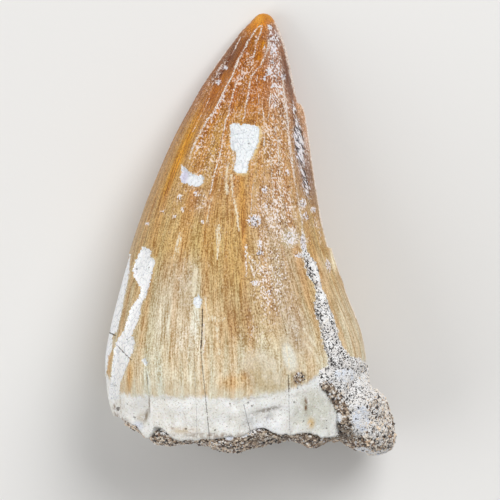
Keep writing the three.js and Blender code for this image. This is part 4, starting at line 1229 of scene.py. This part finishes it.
class StageSettings(bpy.types.PropertyGroup):
    """Floor, light and camera."""

    floor: colour_property("Floor", "Colour of the paper sweep", "e9e8e6")
    key: FloatProperty(name="Key light", description="Power of the main light", unit="POWER", default=2.25)
    fill: FloatProperty(name="Fill light", description="Power of the second light", unit="POWER", default=1.5)
    sky: FloatProperty(name="Surroundings", description="Brightness of the pale surroundings", default=0.34)
    lens: FloatProperty(name="Lens", description="Focal length", unit="CAMERA", default=1000)
    height: FloatProperty(name="Camera height", description="Above the table", unit="LENGTH", default=1.3219)


# ------------------------------------------------------------------ pieces


class FOSSIL_OT_tooth(bpy.types.Operator):
    """Make the tooth: crown, root rim, flakes, crack and the hollow of its base"""

    bl_idname = "fossil.tooth"
    bl_label = "Tooth"

    def execute(self, context):
        look = context.scene.fossil_tooth
        # Columns lie twice as close over the top of the upper face as evenly spaced ones.
        front = np.linspace(0, 1, look.front, endpoint=False)
        front = np.pi * front + 0.25 * np.sin(2 * np.pi * front)
        angles = np.concatenate([front, np.linspace(np.pi, 2 * np.pi, look.back, endpoint=False)])
        nominal = LAST_DEPTH * (np.arange(1, look.rows + 1) / look.rows) ** ROW_CROWDING
        low = fade(nominal, LEVEL_DEPTH, LAST_DEPTH)[:, None]
        depth = nominal[:, None] + low * (rim_depth(angles)[None, :] - LAST_DEPTH)
        angle = np.broadcast_to(angles, depth.shape)
        skin = crown_skin(depth, angle)
        skin = skin + outward(skin) * self.relief(look, skin, angle, depth)[..., None]
        hollow, hollow_depth = self.hollow(skin[-1], depth[-1])
        points = np.concatenate([skin, hollow])
        points[..., 2] = np.maximum(points[..., 2], 0)
        angle = np.broadcast_to(angles, points.shape[:2])
        depth = np.concatenate([depth, hollow_depth])
        quads, fans = tube_faces(*points.shape[:2])
        points = np.concatenate([[TIP], points.reshape(-1, 3), [HOLLOW_CENTRE]])
        values = self.values(
            points,
            np.concatenate([[0.0], angle.ravel(), [0.0]]),
            np.concatenate([[0.0], depth.ravel(), [LAST_DEPTH + HOLLOW_DEPTH]]))
        piece = new_piece("tooth_surface", points, quads, fans, values)
        piece.data.materials.append(enamel_material(look))
        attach(piece, "root")
        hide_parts("tooth")
        return {"FINISHED"}

    def relief(self, look, p, angle, depth):
        """Height of the fine relief over the skin, in millimetres.

        Flakes, the worn rim, the crack and the corner sink with the smooth step of their signed distances,
        ribs are lumps stretched along the tooth, and the cement is lower than the enamel and lumpier. Each
        factor of `lumps` is their height, and then come their size and seed.
        """
        x, y = p[..., 0], p[..., 1]
        upper = np.sin(angle) >= 0
        ragged = 0.08 * lumps(p, 0.5, 11)
        height = -look.flake_depth / MM * (1 - fade(self.flake(p, upper), -0.1, 0.04))
        height -= 0.14 * (1 - fade(self.worn_edge(p, depth) + ragged, -0.08, 0.04))
        band, seam = self.band_and_seam(x, y, upper)
        below = 1 - fade(band + 2 * ragged, -0.15, 0.1)
        height -= 0.1 * below
        height += below * (0.09 * lumps(p, 2.3, 12) + 0.05 * lumps(p, 0.7, 13) + 0.02 * lumps(p, 0.3, 19))
        for spot in CEMENT_HOLLOWS:
            height -= soft_spot(x, y, spot) * upper * (1 - fade(x, spot[6], spot[6] + 0.15))
        flow = np.stack([10 * np.cos(angle), 10 * np.sin(angle), depth / 12], -1)
        ribs = 0.045 * lumps(flow, 1.1, 14) + 0.025 * lumps(flow, 0.5, 15)
        height += (1 - below) * ribs * fade(depth, 0.5, 5) + 0.03 * lumps(p, 3.0, 16)
        height -= look.seam_depth / MM * (1 - fade(seam, -0.35, -0.15))
        corner = outline_distance([CORNER], x, y)
        return height - look.corner_depth / MM * (1 - fade(corner, -0.6, -0.25))

    def band_and_seam(self, x, y, upper):
        """Distance above the cement's upper border, and signed distance to the filled crack."""
        border = np.where(upper, smooth(FRONT_BAND)(x), smooth(BACK_BAND)(x))
        return y - border, np.where(upper, outline_distance([SEAM], x, y), FAR)

    def flake(self, p, upper):
        """Signed distance to the flakes, whose outlines lumps of two sizes make jagged."""
        x = p[..., 0] + 0.03 * lumps(p, 0.5, 41) + 0.05 * lumps(p, 0.22, 42)
        y = p[..., 1] + 0.03 * lumps(p, 0.5, 43) + 0.05 * lumps(p, 0.22, 44)
        return np.where(upper, outline_distance(FRONT_FLAKES, x, y), outline_distance(BACK_FLAKES, x, y))

    def worn_edge(self, p, depth):
        """Signed distance to where the left edge has lost its enamel.

        It is the outline's distance, cut off raggedly below the keel: 2.4 mm below it at most, and 0.8 mm below
        it at both ends.
        """
        outline = outline_distance([WORN_RIM], p[..., 0], p[..., 1])
        foot = keel_line(depth) - 2.4 + 1.6 * fade(np.abs(p[..., 1] + 7.6), 1.5, 5.8)
        foot = foot + 0.7 * lumps(p, 1.6, 24) + 0.35 * lumps(p, 0.5, 25)
        return np.maximum(outline, foot - p[..., 2])

    def hollow(self, rim, depth):
        """Rings of the broken base: each a share of the rim about its centre, sunk with the share squared."""
        centre = np.array(HOLLOW_CENTRE)
        shares = np.array(HOLLOW_RINGS)
        rings = centre + (rim - centre) * shares[:, None, None]
        rings[..., 1] = centre[1] + (rim[:, 1] - centre[1]) * shares[:, None] ** 2
        rings[..., 1] += 0.12 * lumps(rings, 0.7, 17) + 0.2 * lumps(rings, 2.5, 18)
        return rings, depth + (1 - shares[:, None]) * HOLLOW_DEPTH

    def frost(self, p, depth, facing):
        """How far the enamel is frosted: by depth, less in the glassy places, more in the frosted ones."""
        x, y, _ = p.T
        frost = np.interp(depth, *np.transpose(FROST_BY_DEPTH)) + 0.15 * lumps(p, 3.5, 21)
        for spot in GLASSY:
            frost = frost * (1 - soft_spot(x, y, spot) * facing)
        for spot in FROST:
            frost = np.maximum(frost, soft_spot(x, y, spot) * facing)
        frost = np.maximum(frost, (1 - facing) * (0.55 + 0.4 * lumps(p, 4.0, 22)))
        return frost * fade(depth, 0.6, 1.2) * fade(y, -15, -12)

    def tint(self, p, angle, depth, facing):
        """Colour of whole enamel: by depth, another round the left keel, patches, and weathering underneath."""
        x, y, _ = p.T
        tint = colours_along(ENAMEL_BY_DEPTH, depth)
        keel = np.exp(-(((angle - np.pi) / KEEL_SPREAD) ** 2))[:, None] * KEEL_STRENGTH
        tint = tint + keel * (colours_along(KEEL_BY_DEPTH, depth) - tint)
        for spot in PATCHES:
            tint = mixed(tint, soft_spot(x, y, spot) * facing, spot[6])
        return mixed(tint, (1 - facing) * fade(lumps(p, 5.0, 23), -0.2, 0.6) * 0.5, WEATHERED)

    def edge(self, p, depth):
        """Distance to the nearer side of the tooth, in widths of the pale line along it, which is worn edge and
        painted rim highlight in one.

        The line is 0.1 mm wide, and 0.24 mm at the right near the tip. It fades out at the very tip and below
        the keel, and is missing here and there.
        """
        x, _, z = p.T
        left = x - left_edge(depth) + 0.1 * fade(depth, 5, 9)
        right = right_edge(depth) + np.interp(depth, *np.transpose(CUTTING_EDGE)) - x
        edge = np.minimum(left / 0.1, right / (0.24 - 0.14 * fade(depth, 6.5, 8.5)))
        foot = z - keel_line(depth) + 0.3 * lumps(p, 1.2, 47)
        edge = edge + 4 * (1 - fade(depth, 0.3, 1.0)) + 4 * (1 - fade(foot, -0.65, -0.3))
        return edge + 1.2 * fade(lumps(p, 2.2, 48), 0.1, 0.6) * fade(depth, 6, 10)

    def values(self, p, angle, depth):
        """What the material reads per point: signed distances to the markings, and the soft colours."""
        x, y, _ = p.T
        upper = np.sin(angle) >= 0
        facing = fade(np.sin(angle), -0.1, 0.25)  # how far a soft patch of the upper face wraps round
        flake = np.minimum(self.flake(p, upper), self.worn_edge(p, depth))
        band, seam = self.band_and_seam(x, y, upper)
        crack, crack_dark = np.where(upper, crack_distance(FRONT_CRACKS, x, y), crack_distance(BACK_CRACKS, x, y))
        wavy = x + 0.07 * lumps(p, 0.6, 45) + 0.03 * lumps(p, 0.25, 46)
        crest = np.min([line_distance([line], wavy, y) / width for width, line in PALE_CRESTS], axis=0)
        pore = np.min([np.hypot(x - px, y - py) - radius for radius, px, py in PORES], axis=0)
        under = colours_along(UNDER_BY_Y, y)
        for spot in UNDER_PATCHES:
            under = mixed(under, soft_spot(x, y, spot) * facing, spot[6])
        soft = {
            name: facing * np.max([soft_spot(x, y, spot) for spot in spots], axis=0)
            for name, spots in (("stain", STAINS), ("flute", FLUTE), ("veil", VEILS), ("halo", HALOS))
        }
        # Distances are cut off where the material no longer reads them, so that they stay smooth between points.
        return {
            "flow": np.stack([10 * np.cos(angle), 10 * np.sin(angle), depth], -1),
            "tint": self.tint(p, angle, depth, facing),
            "flake": np.clip(flake, -2, 2),
            "crest": np.clip(np.where(upper, crest, 8), 0, 8),
            "edge": np.clip(self.edge(p, depth), 0, 8),
            "streak": np.clip(np.where(upper, line_distance(PALE_STREAKS, x, y), 2), 0, 2),
            "crack": crack,
            "crack_dark": crack_dark,
            "pore": np.clip(np.where(upper, pore, 2), -1, 2),
            "under": under,
            "band": np.clip(band, -3, 3),
            "frost": self.frost(p, depth, facing),
            **soft,
            "rock": np.clip(np.minimum(seam, outline_distance([CORNER], x, y)), -2, 2),
        }


class FOSSIL_OT_rock(bpy.types.Operator):
    """Make the rock: the crust under the base, the lump at the corner and the filling of the crack"""

    bl_idname = "fossil.rock"
    bl_label = "Rock"

    def execute(self, context):
        look = context.scene.fossil_rock
        mesh = self.fine_copy(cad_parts["matrix"], look.fineness)
        points = self.smoothed(mesh, rounds=3)
        normals = self.normals(mesh)
        hidden = inside_crown(points + 0.3 * normals)
        seam = fade(points[:, 1], -13.5, -11)
        rough = 0.2 * lumps(points, 2.1, 31) + 0.14 * lumps(points, 0.95, 32)
        rough += 0.09 * lumps(points, 0.45, 33) + 0.06 * lumps(points, 0.24, 34)
        beside = inside_crown(points, 0.5)
        brown = rock_brownness(points)
        # Pale rock and the filled crack are smoother than brown rock, and hidden rock is nearly even. Beside the
        # tooth the rock swells more, so that it meets the enamel.
        rough = rough * np.where(hidden, 0.1, (0.5 + 0.5 * brown) * (1 - 0.4 * seam))
        lift = look.swell / MM + 0.12 * beside + rough
        points = points + normals * lift[:, None]
        # Outside the crack's outline it sinks below the enamel, and its lower and right outlines are trimmed.
        outside = outline_distance([SEAM, CORNER], points[:, 0], points[:, 1]) + 0.1 * lumps(points, 0.4, 35)
        points[:, 2] -= 0.6 * fade(outside, -0.04, 0.2) * (points[:, 1] > -14.5) * fade(points[:, 2], 8, 11)
        points[:, 1] += np.interp(points[:, 0], *np.transpose(BOTTOM_TRIM)) * fade(-points[:, 1], 18.4, 19.6)
        points[:, 0] -= np.interp(points[:, 1], *np.transpose(RIGHT_TRIM)) * fade(points[:, 0], 8.5, 10.5)
        mesh.vertices.foreach_set("co", (points * MM).astype(np.float32).ravel())
        mesh.update()
        add_values(mesh, {"brown": brown, "pepper": rock_pepper(points), "chalky": rock_chalkiness(points)})
        piece = bpy.data.objects.new("rock_surface", mesh)
        context.scene.collection.objects.link(piece)
        mesh.materials.clear()
        mesh.materials.append(rock_material(look))
        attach(piece, "root")
        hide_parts("matrix")
        return {"FINISHED"}

    def fine_copy(self, node, fineness):
        """A merged copy of a solid with even faces of the size `fineness`, in metres."""
        rough = bpy.data.meshes.new("rough_rock")
        shape = bmesh.new()
        shape.from_mesh(node.data)
        bmesh.ops.remove_doubles(shape, verts=shape.verts, dist=1e-7)
        shape.to_mesh(rough)
        shape.free()
        block = bpy.data.objects.new("rough_rock", rough)
        bpy.context.scene.collection.objects.link(block)
        remesh = block.modifiers.new("even faces", "REMESH")
        remesh.mode = "VOXEL"
        remesh.voxel_size = fineness
        remesh.use_smooth_shade = True
        fine = bpy.data.meshes.new_from_object(block.evaluated_get(bpy.context.evaluated_depsgraph_get()))
        fine.name = "rock_surface"
        bpy.data.objects.remove(block)
        bpy.data.meshes.remove(rough)
        return fine

    def smoothed(self, mesh, rounds):
        """The points in millimetres, each moved half way to the mean of its neighbours, a few times over."""
        points = np.empty(len(mesh.vertices) * 3, np.float32)
        mesh.vertices.foreach_get("co", points)
        points = points.reshape(-1, 3).astype(float) / MM
        edges = np.empty(len(mesh.edges) * 2, np.int32)
        mesh.edges.foreach_get("vertices", edges)
        a, b = edges.reshape(-1, 2).T
        ends = np.concatenate([a, b])
        count = np.bincount(ends, minlength=len(points))[:, None]
        for _ in range(rounds):
            other = points[np.concatenate([b, a])]
            mean = np.stack([np.bincount(ends, other[:, i], len(points)) for i in range(3)], -1) / count
            points = (points + mean) / 2
        return points

    def normals(self, mesh):
        """Unit normals per point."""
        normals = np.empty(len(mesh.vertices) * 3, np.float32)
        mesh.vertex_normals.foreach_get("vector", normals)
        return normals.reshape(-1, 3).astype(float)


def rock_chalkiness(p):
    """How smooth and chalky the rock is: the strongest of its chalky places there, faded out below each."""
    x, y, z = p[..., 0], p[..., 1], p[..., 2]
    return np.max([soft_spot(x, y, spot) * fade(z, spot[6], spot[6] + 1.5) for spot in CHALK_SPOTS], axis=0)


def rock_pepper(p):
    """How much pepper pale rock has: most at one spot and in the filled crack, none along its white side."""
    x, y = p[..., 0], p[..., 1]
    pepper = 0.85 + 0.5 * soft_spot(x, y, PEPPERED)
    pepper += 0.4 * np.exp(-((outline_distance([SEAM], x, y) / 0.8) ** 2))
    return pepper * fade(line_distance([WHITE_SIDE], x, y), 0.05, 0.3)


def rock_brownness(p):
    """1 where the rock is brown and open-grained, 0 where it is pale: brown below a line and underneath."""
    x, y, z = p[..., 0], p[..., 1], p[..., 2]
    low = 1 - fade(y + 0.5 * lumps(p, 1.5, 36) - 2 * fade(-x, 8.5, 10.5), -19.2, -18.2)
    under = 1 - fade(z + lumps(p, 2.0, 37), 5.0, 7.5)
    pocket = np.exp(-((line_distance([BROWN_POCKET], x, y) / POCKET_WIDTH) ** 4))
    low *= 1 - 0.35 * fade(-x, 0.5, 2) - 0.25 * fade(x, 9.4, 10.4) - 0.25 * fade(x, 10.3, 11.5)
    right = 0.47 * fade(x, 10.4, 11.2) * (1 - fade(y, -15.8, -14.8))
    crumb = np.exp(-(np.hypot((x - CRUMB[0]) / 0.8, (y - CRUMB[1]) / 0.8) ** 4))
    return np.clip(np.max([low, under, pocket, right, crumb], axis=0) * (1 - rock_chalkiness(p)), 0, 1)


class FOSSIL_OT_grains(bpy.types.Operator):
    """Make the grains of sand on the rock, and the crumb of it on the enamel"""

    bl_idname = "fossil.grains"
    bl_label = "Grains"

    def execute(self, context):
        look = context.scene.fossil_rock
        rng = np.random.default_rng(GRAIN_SEED)
        material = grain_material()
        rock = bpy.data.objects["rock_surface"].data
        coarse = self.places(rock, look.coarse_grains, COARSE_ON_PALE, rng)
        self.heap("rock_grains_coarse", coarse, look.coarse / MM, material, rng)
        fine = self.places(rock, look.fine_grains, FINE_ON_PALE, rng)
        fine = [np.concatenate(pair) for pair in zip(fine, self.crumb(rng))]
        self.heap("rock_grains_fine", fine, look.fine / MM, material, rng)
        return {"FINISHED"}

    def heap(self, name, places, diameter, material, rng):
        """One mesh of separate grains: the ball's corners pushed in and out, stretched, turned and moved.

        Diameters are the middle one times e to the power of a random number.
        """
        centres, normals = places
        count = len(centres)
        radius = diameter / 2 * np.exp(rng.normal(0, GRAIN_SPREAD, count))
        ball, faces = self.ball()
        shape = ball[None] * rng.uniform(0.75, 1.25, (count, 1, 3)) * rng.uniform(0.8, 1.2, (count, len(ball), 1))
        shape = np.einsum("nij,nkj->nki", self.turns(rng, count), shape) * radius[:, None, None]
        points = (shape + (centres - normals * (GRAIN_SUNK * radius)[:, None])[:, None]).reshape(-1, 3)
        points[:, 2] = np.maximum(points[:, 2], 0)
        triangles = (faces[None] + len(ball) * np.arange(count)[:, None, None]).reshape(-1, 3)
        tint = self.colours(rng, rock_brownness(centres))
        # Sand at the lower edge, the right and the left is made lighter with painted light, except at the dark sand,
        # and at both sides warmer too.
        # No channel passes 0.9, so that the lightest grains keep their hue.
        x, y, z = centres.T
        painted_light = np.maximum(fade(-y, 19.1, 20), fade(x, 10, 11.3)) * fade(z, 6, 9)
        painted_light = np.maximum(painted_light, 1.4 * fade(-x, 6.5, 7.5) * fade(z, 2.5, 4.5))
        painted_light -= 0.8 * soft_spot(x, y, DARK_SAND)
        warm = np.clip(fade(x, 9.8, 11) + fade(-x, 6.5, 7.5), 0, 1)[:, None] * [0, 0.04, 0.09]
        tint = tint * (1 + 0.6 * painted_light[:, None]) * (1 - warm)
        tint = np.repeat(tint / np.maximum(1, tint.max(1, keepdims=True) / 0.9), len(ball), axis=0)
        piece = new_piece(name, points, np.empty((0, 4), int), triangles, {"tint": tint})
        piece.data.polygons.foreach_set("use_smooth", np.zeros(len(triangles), bool))
        piece.data.materials.append(material)
        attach(piece, "root")
        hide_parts("matrix")

    def places(self, mesh, count, pale_share, rng):
        """Random places on the rock's open faces: more to a face the larger and the browner it is."""
        mesh.calc_loop_triangles()
        corners = np.empty(len(mesh.loop_triangles) * 3, np.int32)
        mesh.loop_triangles.foreach_get("vertices", corners)
        points = np.empty(len(mesh.vertices) * 3, np.float32)
        mesh.vertices.foreach_get("co", points)
        a, b, c = np.moveaxis(points.reshape(-1, 3)[corners.reshape(-1, 3)] / MM, 1, 0)
        normal = np.cross(b - a, c - a)
        area = np.linalg.norm(normal, axis=1)
        normal = normal / np.maximum(area, 1e-12)[:, None]
        middle = (a + b + c) / 3
        open_air = ~inside_crown(middle + 0.45 * normal)
        weight = area * open_air * (pale_share + (1 - pale_share) * rock_brownness(middle))
        chosen = rng.choice(len(area), count, p=weight / weight.sum())
        u, v = rng.uniform(0, 1, (2, count, 1))
        u, v = np.where(u + v > 1, 1 - u, u), np.where(u + v > 1, 1 - v, v)
        a, b, c = a[chosen], b[chosen], c[chosen]
        return a + u * (b - a) + v * (c - a), normal[chosen]

    def crumb(self, rng):
        """A round crumb of rock on the enamel: grains spread over a small disc, heaped at its middle."""
        count = CRUMB_GRAINS
        radius, turn = CRUMB_RADIUS * np.sqrt(rng.uniform(0, 1, count)), rng.uniform(0, 2 * np.pi, count)
        x, y = CRUMB[0] + radius * np.cos(turn), CRUMB[1] + radius * np.sin(turn)
        _, _, z, _ = section(x, TIP_Y - y)
        heap = CRUMB_HEIGHT * (1 - (radius / 0.6) ** 2) * rng.uniform(0, 1, count)
        return np.stack([x, y, z + heap], -1), np.tile([0.0, 0.0, 1.0], (count, 1))

    def ball(self):
        """The twelve corners and twenty faces of an icosahedron."""
        shape = bmesh.new()
        bmesh.ops.create_icosphere(shape, subdivisions=1, radius=1)
        corners = np.array([v.co[:] for v in shape.verts])
        faces = np.array([[v.index for v in f.verts] for f in shape.faces])
        shape.free()
        return corners, faces

    def turns(self, rng, count):
        """Random rotation matrices, from random unit quaternions."""
        q = rng.normal(size=(count, 4))
        w, x, y, z = (q / np.linalg.norm(q, axis=1, keepdims=True)).T
        rows = [
            [1 - 2 * (y * y + z * z), 2 * (x * y - w * z), 2 * (x * z + w * y)],
            [2 * (x * y + w * z), 1 - 2 * (x * x + z * z), 2 * (y * z - w * x)],
            [2 * (x * z - w * y), 2 * (y * z + w * x), 1 - 2 * (x * x + y * y)],
        ]
        return np.moveaxis(np.array(rows), -1, 0)

    def colours(self, rng, brown):
        """One of a few sand colours per grain, drawn from pale or brown shares."""
        sands = np.array([linear(code)[:3] for code in SANDS])
        is_brown = brown > rng.uniform(0, 1, len(brown))
        share = np.where(is_brown[:, None], np.cumsum(BROWN_SHARES), np.cumsum(PALE_SHARES))
        kind = (rng.uniform(0, 1, (len(brown), 1)) > share).sum(1)
        return sands[np.minimum(kind, len(sands) - 1)] * rng.uniform(0.8, 1.1, (len(brown), 1))


class FOSSIL_OT_stage(bpy.types.Operator):
    """Make the floor, the soft lights and the camera"""

    bl_idname = "fossil.stage"
    bl_label = "Stage"

    def execute(self, context):
        look = context.scene.fossil_stage
        self.floor(look)
        self.light(context, "key_light", look.key, *KEY_LIGHT)
        self.light(context, "fill_light", look.fill, *FILL_LIGHT)
        world = bpy.data.worlds.new("pale_studio")
        world.use_nodes = True
        background = world.node_tree.nodes["Background"]
        background.inputs["Color"].default_value = (1, 1, 1, 1)
        background.inputs["Strength"].default_value = look.sky
        context.scene.world = world
        context.scene.view_settings.view_transform = "Standard"
        camera = bpy.data.objects.new("camera", bpy.data.cameras.new("camera"))
        camera.data.lens = look.lens
        camera.data.sensor_width = SENSOR_WIDTH
        camera.data.clip_start = 0.01
        camera.data.clip_end = 10
        camera.location = (CAMERA_OVER[0] * MM, CAMERA_OVER[1] * MM, look.height)
        context.scene.collection.objects.link(camera)
        context.scene.camera = camera
        return {"FINISHED"}

    def floor(self, look):
        """A flat square grid of points, z = 0."""
        count = FLOOR_POINTS
        side = np.linspace(-FLOOR_REACH, FLOOR_REACH, count)
        x, y = np.meshgrid(side, side)
        points = np.stack([x.ravel(), y.ravel(), np.zeros(x.size)], -1)
        row, column = np.mgrid[0 : count - 1, 0 : count - 1]
        first = (row * count + column).ravel()
        quads = np.stack([first, first + 1, first + count + 1, first + count], -1)
        piece = new_piece("floor", points, quads, np.empty((0, 3), int), {})
        piece.data.materials.append(floor_material(look))

    def light(self, context, name, power, side, place):
        """A square soft light that faces the tooth."""
        data = bpy.data.lights.new(name, "AREA")
        data.energy = power
        data.size = side
        lamp = bpy.data.objects.new(name, data)
        lamp.location = place
        lamp.rotation_euler = (-lamp.location).to_track_quat("-Z", "Y").to_euler()
        context.scene.collection.objects.link(lamp)


class FOSSIL_PT_panel(bpy.types.Panel):
    """Lists the pieces and their settings"""

    bl_idname = "FOSSIL_PT_panel"
    bl_label = "Fossil tooth"
    bl_space_type = "VIEW_3D"
    bl_region_type = "UI"
    bl_category = "Fossil"

    def draw(self, context):
        for operator, settings in (
            (FOSSIL_OT_tooth, context.scene.fossil_tooth),
            (FOSSIL_OT_rock, context.scene.fossil_rock),
            (FOSSIL_OT_grains, None),
            (FOSSIL_OT_stage, context.scene.fossil_stage),
        ):
            box = self.layout.box()
            box.operator(operator.bl_idname)
            for name in settings.__annotations__ if settings else ():
                box.prop(settings, name)


CLASSES = (
    ToothSettings,
    RockSettings,
    StageSettings,
    FOSSIL_OT_tooth,
    FOSSIL_OT_rock,
    FOSSIL_OT_grains,
    FOSSIL_OT_stage,
    FOSSIL_PT_panel,
)


def register():
    """Registers the classes and their settings on the scene."""
    for item in CLASSES:
        bpy.utils.register_class(item)
    bpy.types.Scene.fossil_tooth = PointerProperty(type=ToothSettings)
    bpy.types.Scene.fossil_rock = PointerProperty(type=RockSettings)
    bpy.types.Scene.fossil_stage = PointerProperty(type=StageSettings)


def unregister():
    """Takes them out again."""
    del bpy.types.Scene.fossil_stage
    del bpy.types.Scene.fossil_rock
    del bpy.types.Scene.fossil_tooth
    for item in reversed(CLASSES):
        bpy.utils.unregister_class(item)


def main():
    """Registers the classes and their settings, and builds every piece."""
    register()
    bpy.ops.fossil.stage()
    bpy.ops.fossil.tooth()
    bpy.ops.fossil.rock()
    bpy.ops.fossil.grains()


if __name__ == "__main__":
    main()
